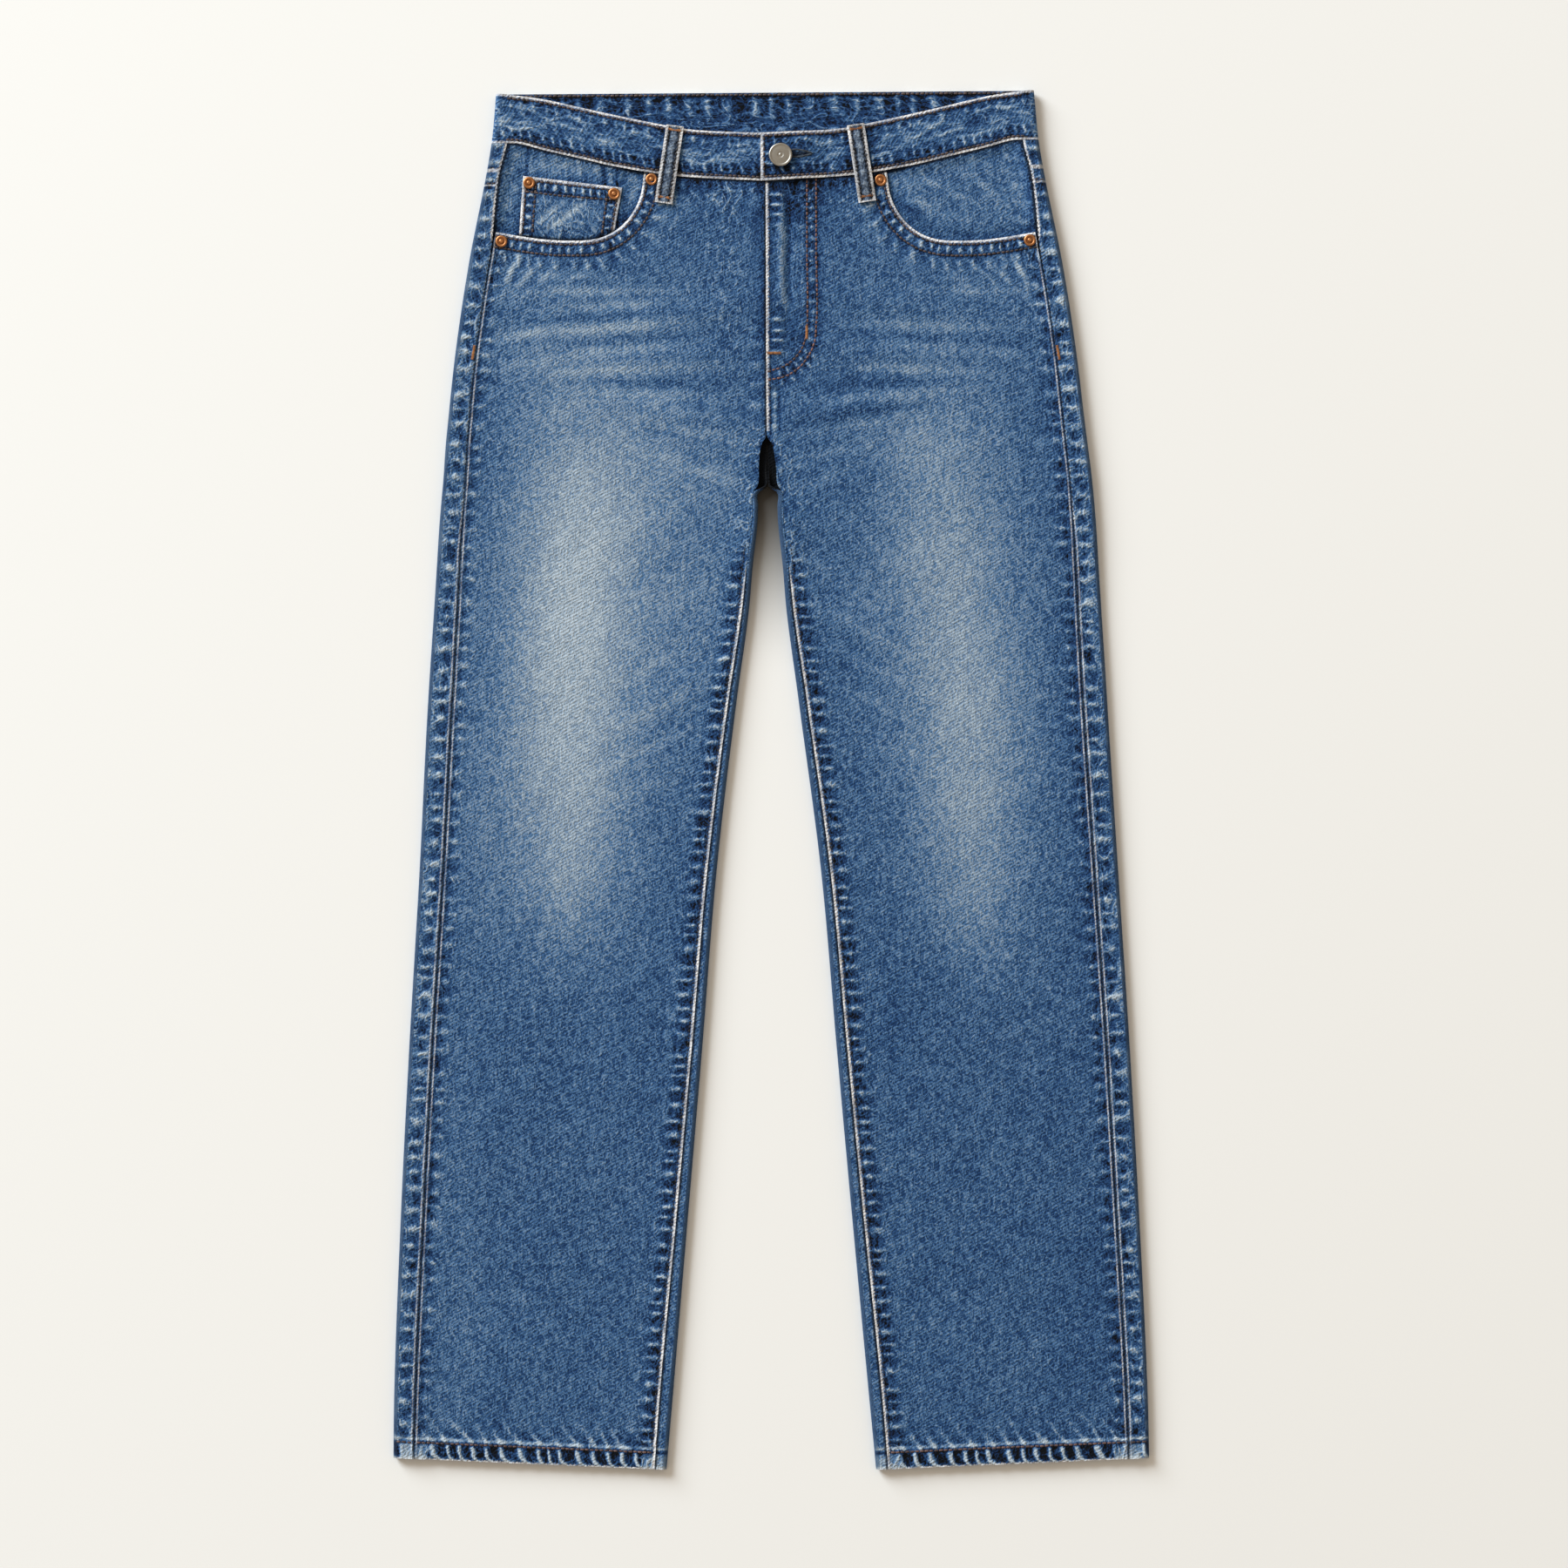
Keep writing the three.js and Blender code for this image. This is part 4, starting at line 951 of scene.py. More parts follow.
# Relief and wash of the band front from the distances to its top edge and lower seam, with painted shade in
# the grooves of its rows, beside the belt loops, round the button and beside the overlapping end.
def bandSurface(side, x, toTop, toLow):
    seed = 61 if side < 0 else 67
    gx = side * x
    low = gatherPhase(gx, 7.6, seed) + 0.03 * toLow
    high = gatherPhase(gx + 3, 8.6, seed + 2)
    gathers = strongest((low, 0.62 * bell(toLow - 8.0, 3.4)), (high, 0.4 * bell(toTop - 8, 3.4)))
    waves = sum(bell(toLow - at - 3.5 * wander(gx, 46, seed + k), 1.3) * np.clip(wander(gx, 71, seed + k)
                                                                                 + 0.5, 0, 1)
                for k, at in enumerate((12.5, 17.5, 22.0, 27.5)))
    relief = 0.30 * ridges(low) * bell(toLow - 7.5, 3.4) + 0.16 * ridges(high) * bell(toTop - 7, 3.0)
    relief = relief + 0.3 * waves - 0.25 * bell(toTop - 3.1, 0.9) - 0.25 * bell(toLow - 3.1, 0.9)
    relief = relief - 0.4 * bell(toTop, 0.9) - 0.4 * bell(toLow, 0.9)
    wash = 0.46 + 0.42 * (waves - 0.25)
    # painted shade in the grooves of the rows along both edges
    wash = wash - 0.34 * bell(toTop - 3.0, 1.7) - 0.34 * bell(toLow - 3.0, 1.7) + 0.04 * clouds(gx, toLow,
                                                                                                30, seed)
    wash = wash - 0.10 * bell(toLow - 8, 5) + 0.10 * ease(120, 200, x) * bell(toLow - 14, 8)
    # painted shadow of a belt loop on both sides of it
    wash = wash - 0.22 * bell(np.abs(x - 72.5) - 8.5, 4.5)
    if side > 0:
        end = x + bandShape["overlap"]
        fromButton = np.hypot(x - 11.5, toLow - 19.2)
        # painted shade in the groove of the row along the end, and round the button
        wash = wash + 0.12 * beads(toLow, 6.5, seed) * bell(end - 6, 3) - 0.16 * bell(end - 3.4, 1.5)
        wash = wash - 0.12 * bell(fromButton - 9, 5) - 0.06 * bell(x - 30, 20)
        relief = relief - 0.25 * bell(end - 2.9, 0.9) - 0.4 * bell(end, 0.9)
    else:
        # painted shade beside the overlapping end of the other half
        wash = wash - 0.14 * (1 - ease(0, 22, x))
    return relief, wash, gathers


# Front of the band at a distance x from the centre and a share v of its height.
def bandFront(side, x, v):
    width = np.abs(x)
    low = frontSeam(width) + tilt(side, x) + gap / 2
    high = frontTop(width) + tilt(side, x)
    h = mix(low, high, v)
    last = np.clip((x - bandShape["lastColumn"]) / (bandShape["frontEnd"] - bandShape["lastColumn"]), 0, 1)
    shift = last * (bandEnd(h) - bandEnd(bandShape["middle"]))
    relief, wash, gathers = bandSurface(side, x, high - h, h - low)
    relief = relief * (1 - last)
    return place(side, x + shift, h, bandZ(side, x) + relief), wash, high - h, h - low, gathers


# Waistband: its front with both ends, a fold at each side, and its back.
def makeWaistband():
    v = np.linspace(0, 1, bandShape["rows"])[:, None]
    r, middle = bandShape["foldRadius"], bandEnd(bandShape["middle"])
    parts = []
    for side, start in ((1, -bandShape["overlap"]), (-1, -bandShape["underlap"])):
        count = round((bandShape["frontEnd"] - start) / 1.4)
        x = np.linspace(start, bandShape["frontEnd"], count)[None, :]
        points, wash, toTop, toLow, (phase, weight) = bandFront(side, x, v)
        edge = np.minimum(toTop, toLow)
        if side > 0:
            edge = np.minimum(edge, (x + bandShape["overlap"]) * 0.75)
        a = np.linspace(0, math.pi, 13)[None, 1:]
        low = frontSeam(middle) + tilt(side, middle) + gap / 2
        h = mix(low, frontTop(middle) + tilt(side, middle), v) + 0 * a
        fold = place(side, bandEnd(h) + r * np.sin(a), h, garment["hipLift"] + r * (1 + np.cos(a)))
        toTopFold, toLowFold = (1 - v) * 37 + 0 * a, v * 37 + 0 * a
        parts.append([np.concatenate([points, fold], 1), np.concatenate([wash, 0.45 + 0 * a + 0 * v], 1),
                      np.concatenate([edge, np.minimum(toTopFold, toLowFold)], 1),
                      np.concatenate([phase, 0 * (v + a)], 1), np.concatenate([weight, 0 * (v + a)], 1)])
    t = np.linspace(1, -1, 110)[None, 1:-1]
    side, across = np.sign(t), np.abs(t)
    h = backBand["top"] + garment["waistTilt"] * t * middle - (backBand["height"] - gap / 2) * (1 - v)
    back = place(1, t * bandEnd(h), h, garment["hipLift"])
    toTop = (1 - v) * backBand["height"] + 0 * t
    toLow = v * 37
    left, right = parts
    outer = np.concatenate([left[0], back, right[0][:, ::-1]], 1)
    wash = np.concatenate([left[1], 0.45 + 0 * toTop, right[1][:, ::-1]], 1)
    edge = np.concatenate([left[2], np.minimum(toTop, backBand["height"] - toTop), right[2][:, ::-1]], 1)
    gathers = [np.concatenate([left[k], 0 * toTop, right[k][:, ::-1]], 1) for k in (3, 4)]
    gx = outer[..., 0]
    insideBeads = gatherPhase(gx + 1.2 * wander(v * 37, 19, 70), 15.8, 71)
    innerTone = 0.24 + 0.04 * clouds(gx, v * 37, 18, 72)
    run = np.concatenate([[0], np.cumsum(np.linalg.norm(np.diff(outer[0], axis=0), axis=-1))])
    grain = together(v * 37, run[None, :] * 0.8)  # the creases of a band run along it
    innerEdge = 2.6 + (1 - v) * 37 + 0 * gx
    innerTone = innerTone - 0.3 * bell((1 - v) * 37 - 2.6, 1.6)
    # the buttonhole's slot: a painted dark shade line, drawn through the shade number
    slotShare = np.clip((gx + 4.9 - 18.5) / 15.5, 0, 1)
    slit = np.maximum(np.abs(toLow - 19.4 + slotShare) - mix(1.9, 0.2, slotShare), np.abs(gx + 4.9 - 26.2)
                      - 7.7)
    slit = np.where(np.arange(gx.shape[1])[None, :] < left[0].shape[1], np.maximum(slit, 0) * 1.8 + 0.1, 60)
    return clothPiece("waistbandCloth", outer, wash, edge, grain, denim, ["waistband"],
                      innerTone=innerTone, innerEdge=innerEdge, thickness=bandShape["thickness"],
                      crinkle=0.34, shade=slit,
                      gathers=gathers, innerGathers=(insideBeads, 0.62 * bell(v * 37 - 28, 8)))


facingShape = {"low": [(85.7, 956), (97, 939), (116, 927), (143, 924), (166, 925)], "side": 930.0,
               "topAt": 1002.0,
               "columns": 76, "rows": 50, "thickness": 0.9}


# Height of the top edge of a front panel.
def panelTopEdge(side, x):
    return frontSeam(x) + tilt(side, x) - gap


# Outer face of a facing: under the panel, and level with it where it is sewn down.
def facingZ(side, x, h):
    toSeam = np.minimum(outerSeam(h) - x, panelTopEdge(side, x) - h)
    isOpen = ease(3, 11, h - mouthHeight(x)) * ease(8, 20, x - mouthRows[0, 0])
    flush = isOpen * (1 - ease(0, 9, toSeam))
    return topZ(side, x, h) - (1.2 + gap) * (1 - flush) - 0.5 * (1 - isOpen)


# Facing: small puckers at its seams, pulls across it, and a stitched seam over each end of the coin pocket,
# with painted shade under the panel's edges, under the pocket mouth, round the coin pocket and in its seam
# grooves.
def facingSurface(side, x, h):
    seed = 81 if side < 0 else 87
    toWaist = panelTopEdge(side, x) - h
    toSide = outerSeam(h) - x
    wave, sideWave = beads(x, 10.0, seed), beads(h, 12, seed + 1)
    relief = 0.16 * wave * bell(toWaist - 6, 5) + 0.12 * sideWave * bell(toSide - 6, 4)
    wash = (0.53 if side < 0 else 0.49) + 0.10 * wave * bell(toWaist - 6, 5) + 0.12 * sideWave * bell(toSide
                                                                                                      - 8, 4)
    # painted shade under the band, beside the outseam and under the pocket mouth
    wash = wash - 0.14 * bell(toWaist, 4.5) - 0.16 * bell(toSide, 7) - 0.16 * bell(h - mouthHeight(x), 9)
    wash = wash + 0.14 * streaks(facingPulls[side], x, h)
    if side < 0:
        seams = bell(x - 181 + 0.1 * (h - 985), 1.1) + bell(x - 122 - 0.1 * (h - 980), 1.2) + bell(x - 112.4,
                                                                                                   1.2)
        between = bell(x - 117, 2.6) * (0.4 + beads(h, 6.5, 83)) + 0.6 * bell(x - 178.4 + 0.1 * (h - 985),
                                                                              0.9)
        # painted shade in the seam grooves
        relief, wash = relief - 0.2 * seams, wash - 0.42 * seams + 0.22 * between
        u = np.clip((x - 111.5) / 74, 0, 1)
        coinTop = mix(coinShape["top"][0][1], coinShape["top"][1][1], u)
        # painted shadow round the coin pocket
        reach = np.maximum(np.maximum(h - coinTop, 0), np.maximum(x - 185.3, 0) + np.maximum(110.5 - x, 0))
        wash = wash - 0.22 * bell(reach, 5) * ease(0.1, 0.5, reach)
    return relief, wash


# Pulls across each facing: x, height, turn, reach along, reach across, amount. The rows with a negative
# amount are painted shade under the scoop of the pocket mouth.
facingPulls = {
    -1: [(122, 988, -24, 12, 2.0, 0.7), (150, 990, -12, 30, 2.4, 1.0), (150, 983, -10, 34, 2.4, 0.7),
         (192, 966, -66, 26, 2.6, 0.9), (190, 988, -50, 14, 2.0, 0.5), (101, 966, -70, 14, 2.4, 0.9),
         (103, 953, -50, 10, 3.5, -1.3)],
    1: [(122, 958, -32, 20, 2.6, 0.9), (142, 968, -26, 34, 2.6, 0.9), (160, 978, -30, 30, 2.4, 0.8),
        (150, 950, -22, 30, 2.4, 0.6), (176, 962, -44, 26, 2.6, 0.7), (190, 972, -62, 24, 2.4, 0.8),
        (112, 970, -50, 20, 2.4, 0.6), (168, 990, -24, 20, 2.0, 0.6), (110, 956, -42, 12, 4.0, -1.5)],
}


# Both facings, from the pocket mouth to the waist seam and the outseam.
def makeFacings():
    u = np.linspace(0, 1, facingShape["columns"])[None, :]
    v = np.linspace(0, 1, facingShape["rows"])[:, None]
    sideHeight = facingShape["side"]
    lowLine = alongLine(facingShape["low"] + [(float(outerSeam(sideHeight)) - gap / 2, sideHeight)], u.size)
    outerTop = outerSeam(facingShape["topAt"]) - gap / 2
    for name, side in sides:
        topX = mix(facingShape["low"][0][0], outerTop, u)
        outerHeight = mix(sideHeight, panelTopEdge(side, outerTop), v)
        outerX = mix(outerSeam(sideHeight) - gap / 2, outerTop, v)
        bend = u * u * (outerSeam(outerHeight) - gap / 2 - outerX)
        x = mix(lowLine[None, :, 0], topX, v) + bend
        h = mix(lowLine[None, :, 1], panelTopEdge(side, topX), v)
        relief, wash = facingSurface(side, x, h)
        outer = place(side, x, h, facingZ(side, x, h) + relief)
        # painted shade lines under the mouth edge, the waist seam and the outseam
        shade = np.minimum(np.maximum(h - mouthHeight(x), x - mouthRows[0, 0]) * 0.8, panelTopEdge(side, x)
                           - h)
        shade = np.maximum(np.minimum(shade, (outerSeam(h) - x) * 0.8), 0)
        clothPiece(f"pocketFacing.{name}", outer, wash, 60.0, together(side * x + 900, h), denim,
                   [f"pocket_facing_{name}"], flip=side < 0,
                   thickness=facingShape["thickness"], shade=shade,
                   crinkle=0.12)


coinShape = {"top": [(108.5, 971.9), (183.7, 980.8)], "low": (115.1, 187.0), "under": 1.6, "columns": 64,
             "rows": 40,
             "thickness": 0.95}


# The coin pocket: place, relief and wash with painted shade for shares u across and v up.
def coinPoint(u, v):
    lowX = mix(coinShape["low"][0], coinShape["low"][1], u)
    lowHeight = mouthHeight(lowX) - coinShape["under"]
    (innerX, innerH), (outerX, outerH) = coinShape["top"]
    x = mix(lowX, mix(innerX, outerX, u), v)
    h = mix(lowHeight, mix(innerH, outerH, u), v)
    toTop = (1 - v) * (mix(innerH, outerH, u) - lowHeight)
    toInner, toOuter = u * 75.0, (1 - u) * 75.0
    toSide = np.minimum(toInner, toOuter)
    row, sideRow = gatherPhase(x, 6.6, 91), gatherPhase(h, 7.2, 93)
    rowWeight, sideWeight = bell(toTop - 6.4, 2.4), bell(toSide - 6.2, 2.4) * ease(9, 13, toTop)
    rows = bell(toTop - 2.8, 1.0) + bell(toTop - 10.2, 1.0)
    sideRows = (bell(toSide - 2.8, 1.0) + bell(toSide - 10.0, 1.0)) * ease(3, 9, toTop)
    relief = (0.3 * ridges(row) * rowWeight + 0.24 * ridges(sideRow) * sideWeight - 0.22 * rows
              - 0.2 * sideRows)
    relief = relief - 0.35 * bell(np.minimum(toTop, toSide), 0.8)
    inside = ease(10, 13, toSide) * ease(10, 13, toTop)
    # painted shade in the grooves of its rows
    wash = 0.45 + 0.05 * inside - 0.40 * rows - 0.38 * sideRows
    wash = wash - 0.10 * bell(toTop - 12, 2.5) + 0.30 * inside * streaks(coinPulls, x, h)
    # painted shade where it slips under the panel's mouth
    wash = wash - 0.18 * bell(h - mouthHeight(x), 7)
    fall = 0.9 * (1 - ease(0, 3.5, h - mouthHeight(x)))
    z = facingZ(-1, x, h) + gap + 1.0 + relief - fall
    return place(-1, x, h, z), wash, np.minimum(toTop, toSide) * 0.8, x, h, strongest((row, rowWeight),
                                                                                      (sideRow, sideWeight))


coinPulls = [(168, 950, -42, 16, 1.7, 1.0), (160, 944, -38, 16, 1.7, 0.7), (150, 950, -36, 18, 1.8, 0.9),
             (142, 958, -30, 14, 1.6, 0.6), (158, 956, -44, 14, 1.6, 0.6), (172, 962, -50, 10, 1.6, 0.7)]


# Coin pocket on the right facing.
def makeCoinPocket():
    u = np.linspace(0, 1, coinShape["columns"])[None, :]
    v = np.linspace(0, 1, coinShape["rows"])[:, None]
    outer, wash, edge, x, h, gathers = coinPoint(u, v)
    # a painted shade line where the panel's mouth covers it
    shade = np.maximum(h - mouthHeight(x), 0) * 0.9
    clothPiece("coinPocket", outer, wash, edge, together(x + 1300, h), denim, ["coin_pocket"],
               flip=True, thickness=coinShape["thickness"], shade=shade,
               crinkle=0.4,
               gathers=gathers)


loopShape = {"top": (68.3, 1018.9), "low": (77.2, 960.4), "width": 13.4, "height": 2.0, "thickness": 1.4}


# A front belt loop: share t down its length and offset across it, in millimetres from its middle line.
def loopPoint(side, t, offset):
    runX, runH = loopShape["low"][0] - loopShape["top"][0], loopShape["low"][1] - loopShape["top"][1]
    length = math.hypot(runX, runH)
    x = loopShape["top"][0] + runX * t - runH / length * offset
    h = loopShape["top"][1] + runH * t + runX / length * offset
    h = h + tilt(side, x)
    onBand = ease(-15, -7, h - frontSeam(x) - tilt(side, x))
    rest = mix(panelZ(side, x, h), bandZ(side, x), onBand)
    toSide = loopShape["width"] / 2 - np.abs(offset)
    toEnd = np.minimum(t, 1 - t) * length
    relief = 0.3 * bell(offset, 2.6) - 0.25 * bell(toSide - 2.9, 0.9) - 0.35 * bell(toSide, 0.8)
    relief = relief + 0.14 * beads(t * length, 9, 95 + side) * bell(offset, 5) - 0.4 * bell(toEnd - 4.0, 2.0)
    # a rubbed pale middle, painted shade in the grooves of its rows, darker near its ends
    wash = 0.47 + 0.18 * bell(offset, 2.6) - 0.50 * bell(toSide - 2.9, 1.3)
    wash = wash + 0.14 * beads(t * length, 9, 95 + side) * bell(offset, 5) - 0.1 * bell(toEnd - 4.5, 2.4)
    return place(side, x, h, rest + gap + loopShape["height"] + relief), wash, np.minimum(toSide * 0.75,
                                                                                          toEnd + 0.5), x, h


# The two belt loops beside the button.
def makeFrontLoops():
    t = np.linspace(1, 0, 56)[:, None]
    offset = np.linspace(-0.5, 0.5, 16)[None, :] * loopShape["width"]
    for name, side in sides:
        outer, wash, edge, x, h = loopPoint(side, t, offset)
        grain = together(offset + 1500, t * 59.2)
        clothPiece(f"beltLoopFront.{name}", outer, wash, edge, grain, loopDenim, [f"belt_loop_front_{name}"],
                   flip=side < 0, thickness=loopShape["thickness"])


underShape = {"loopTop": 1043.2, "loopLength": 61.0, "loopSpread": 104.0, "thickness": 1.0,
              "pocket": (75.0, 64.0, 126.0, 157.0), "pocketAt": (106.0, 930.0), "pocketTurn": 0.06}


# Belt loops and patch pockets of the back: they lie face down on the surface,
# under the band and the back panels.
def makeUnderside():
    v = np.linspace(0, 1, 24)[:, None]
    u = np.linspace(-1, 1, 12)[None, :]
    half, length = loopShape["width"] / 2, underShape["loopLength"]
    for name, x in (("right", -1), ("centre", 0), ("left", 1)):
        at = x * underShape["loopSpread"]
        mid = at + float(centreX(1010.0))
        high = underShape["loopTop"] + garment["waistTilt"] * at
        h = high - length * (1 - v) + 0 * u
        outer = together(mid + u * half, h - garment["length"] / 2, 0.1)
        toSide = (1 - np.abs(u)) * half + 0 * v
        clothPiece(f"beltLoopBack.{name}", outer, 0.5 + 0.1 * bell(u * half, 2.4) + 0 * v, toSide,
                   together(u * half, h), loopDenim, [f"belt_loop_back_{name}"],
                   flip=True, thickness=underShape["thickness"])
    u = np.linspace(-1, 1, 41)[None, :]
    v = np.linspace(0, 1, 44)[:, None]
    topHalf, lowHalf, sideDepth, depth = underShape["pocket"]
    px = u * mix(lowHalf, topHalf, v)
    py = -(1 - v) * (depth - (depth - sideDepth) * np.abs(u))
    for name, side in sides:
        turn = side * underShape["pocketTurn"]
        atX, atH = underShape["pocketAt"]
        x = float(centreX(850.0)) + side * atX + px * math.cos(turn) - py * math.sin(turn)
        h = atH + px * math.sin(turn) + py * math.cos(turn)
        toEdge = np.minimum(np.minimum((1 - np.abs(u)) * 70, -py), v * depth)
        outer = together(x, h - garment["length"] / 2, 0.12 + 0.1 * bell(toEdge, 1))
        wash = 0.55 - 0.1 * bell(toEdge - 3, 1.6) + 0.05 * clouds(x, h, 30, 97)
        clothPiece(f"backPocket.{name}", outer, wash, toEdge, together(x, h), denim,
                   [f"back_pocket_{name}"], flip=True,
                   thickness=underShape["thickness"])


# A round metal part: a smooth profile of radius and height turned about the vertical through its place.
def turnedPiece(name, profile, material, side, x, h, low, node, segments=64):
    profile = np.array(profile, float)
    run = np.concatenate([[0], np.cumsum(np.hypot(*np.diff(profile, axis=0).T))])
    fine = np.linspace(0, run[-1], len(profile) * 5)
    radius, height = (np.interp(fine, run, profile[:, k]) for k in (0, 1))
    for _ in range(2):
        radius[1:-1] = (radius[:-2] + 2 * radius[1:-1] + radius[2:]) / 4
        height[1:-1] = (height[:-2] + 2 * height[1:-1] + height[2:]) / 4
    radius, height = radius[1:-1], height[1:-1]
    angle = np.linspace(0, 2 * math.pi, segments, endpoint=False)
    centre = place(side, np.float64(x), np.float64(h), np.float64(low))
    ring = np.stack([radius[:, None] * np.cos(angle), radius[:, None] * np.sin(angle), height[:, None]
                     + 0 * angle], -1)
    verts = np.concatenate([ring.reshape(-1, 3), [[0, 0, height[0]], [0, 0, height[-1]]]]) + centre
    count = len(radius)
    index = np.arange(count * segments).reshape(count, segments)
    following = np.roll(index, -1, axis=1)
    quads = np.stack([index[:-1], following[:-1], following[1:], index[1:]], -1).reshape(-1, 4)
    low, high = count * segments, count * segments + 1
    caps = [[low, b, a] for a, b in zip(index[0], following[0])] + [[high, a, b] for a,
                                                                    b in zip(index[-1], following[-1])]
    mesh = bpy.data.meshes.new(name)
    mesh.from_pydata((verts * mm).tolist(), [], quads.tolist() + [[int(k) for k in c] for c in caps])
    mesh.polygons.foreach_set("use_smooth", np.ones(len(mesh.polygons), bool))
    piece = bpy.data.objects.new(name, mesh)
    bpy.context.scene.collection.objects.link(piece)
    # tarnish in the low places, and a painted shade on the steep walls
    slope = np.abs(np.gradient(height, radius.cumsum() * 0 + np.arange(count)))
    low = 1 - (height - height.min()) / (np.ptp(height) + 1e-9)
    setNumbers(piece, "tarnishAndShade",
               np.concatenate([np.repeat(0.62 * low ** 1.5 + 0.12 * slope, segments), [0.3, 0.1]]))
    mesh.materials.append(material)
    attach(piece, "root")
    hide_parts(node)
    return piece


buttonShape = [(0, 0), (4.0, 0), (4.0, 1.2), (8.3, 1.5), (8.9, 2.0), (8.9, 2.5), (8.5, 3.0), (7.9, 3.2),
               (7.3, 2.95),
               (6.8, 2.75), (6.0, 2.8), (4.5, 2.9), (2.4, 2.95), (1.8, 2.7), (1.3, 2.65), (0.8, 3.0),
               (0, 3.05)]
rivetShape = [(0, 0), (4.5, 0), (4.6, 0.25), (4.5, 0.55), (4.1, 0.9), (3.5, 1.12), (2.9, 0.95), (2.4, 0.5),
              (1.9, 0.45), (1.6, 0.6), (1.5, 1.2), (1.25, 1.6), (0.7, 1.7), (0, 1.66)]
rivetPlaces = [
    ("rightMouthTop", -1, 86.3, 978.1, "panel"), ("rightMouthSide", -1, 200.2, 931.0, "panel"),
    ("coinOuter", -1, 179.2, 975.5, "coin"), ("coinInner", -1, 114.7, 967.2, "coin"),
    ("leftMouthTop", 1, 87.3, 977.5, "panel"), ("leftMouthSide", 1, 200.2, 931.9, "panel"),
]
rivetNodes = ["rivet_right_mouth_top", "rivet_right_mouth_side", "rivet_coin_outer", "rivet_coin_inner",
              "rivet_left_mouth_top", "rivet_left_mouth_side"]


# Button and rivets, turned from half sections.
def makeMetal():
    turnedPiece("shankButton", buttonShape, nickelPlate, 1, 11.5, 995.9,
                float(bandZ(1, 11.5)) + gap, "button")
    for (name, side, x, h, on), node in zip(rivetPlaces, rivetNodes):
        around = x + np.array([-4.6, 0, 4.6])
        base = facingZ(side, around, h + 0 * around) + 1.3 if on == "coin" else panelZ(side, around, h
                                                                                       + 0 * around)
        turnedPiece(f"rivet.{name}", rivetShape, copperPlate, side, x, h, float(base.max())
                    + 0.1, node, 40)


print("waistband, pockets and belt loops")
makeWaistband()
makeFacings()
makeCoinPocket()
makeFrontLoops()
makeUnderside()
makeMetal()

threadShape = {"stitch": 3.1, "gap": 0.35, "width": 1.6, "height": 0.7}


# Small capsules from start to end points: rings of five points whose radius follows a rounded profile.
def stitchMesh(starts, ends, width, height):
    along = np.array([0.0, 0.14, 0.5, 0.86, 1.0])
    swell = np.array([0.35, 0.9, 1.0, 0.9, 0.35])
    angle = np.linspace(0, 2 * math.pi, 5, endpoint=False)
    run = ends - starts
    unit = run / (np.linalg.norm(run, axis=1, keepdims=True) + 1e-9)
    across = np.stack([-unit[:, 1], unit[:, 0], 0 * unit[:, 0]], -1)
    across /= np.linalg.norm(across, axis=1, keepdims=True) + 1e-9
    up = np.cross(unit, across)
    up *= np.where(up[:, 2:] < 0, -1, 1)
    mid = starts[:, None] + run[:, None] * along[None, :, None]
    arch = np.array([-0.5, 0.0, 0.25, 0.0, -0.5]) * height
    mid = mid + up[:, None] * arch[None, :, None]
    ring = (across[:, None, None] * (np.cos(angle) * width / 2)[None, None, :, None]
            + up[:, None, None] * (np.sin(angle) * height / 2)[None, None, :, None])
    verts = (mid[:, :, None] + ring * swell[None, :, None, None]).reshape(-1, 3)
    base = np.arange(25).reshape(5, 5)
    following = np.roll(base, -1, axis=1)
    quads = np.stack([base[:-1], base[1:], following[1:], following[:-1]], -1).reshape(-1, 4)
    lids = np.array([base[0], base[-1][::-1]])
    offset = (np.arange(len(starts)) * 25)[:, None, None]
    return verts, (quads[None] + offset).reshape(-1, 4), (lids[None] + offset).reshape(-1, 5)


# Cuts a line of places into stitches of even length with gaps, each a little uneven.
def cutStitches(line, stitch, space, seed):
    rng = np.random.default_rng(seed)
    run = np.concatenate([[0], np.cumsum(np.linalg.norm(np.diff(line, axis=0), axis=1))])
    count = max(1, int(run[-1] / (stitch + space)))
    first = np.arange(count) * (run[-1] / count) + space / 2
    last = first + stitch * rng.uniform(0.9, 1.05, count)
    cut = [np.stack([np.interp(at, run, line[:, k]) for k in range(3)], -1) for at in (first, last)]
    sway = rng.normal(0, 0.06, (count, 3)) * np.array([1, 1, 0.3])
    return cut[0] + sway, cut[1] + sway


# One thread: its material and, for each row sewn with it, where the stitches start and end
# and how wide they are.
def newThread(name, material):
    return {"name": name, "material": material, "rows": []}


# Adds a row of stitches along a line to a thread.
def sew(thread, line, stitch=None, space=None, width=None):
    stitch, space = stitch or threadShape["stitch"], threadShape["gap"] if space is None else space
    starts, ends = cutStitches(np.asarray(line, float), stitch, space, len(thread["rows"]) + 7)
    thread["rows"].append((starts, ends, width or threadShape["width"]))


# A bar tack: close stitches across a short bar from a to b, each as long as the bar is wide.
def sewTack(thread, a, b, wide, step=0.42, width=0.5):
    a, b = np.asarray(a, float), np.asarray(b, float)
    count = int(np.linalg.norm(b - a) / step)
    unit = (b - a) / np.linalg.norm(b - a)
    side = np.array([-unit[1], unit[0], 0]) * wide / 2
    sway = np.random.default_rng(count).normal(0, 0.05, (count, 3))
    middle = a + (b - a) * np.linspace(0, 1, count)[:, None] + sway
    thread["rows"].append((middle - side, middle + side, width))


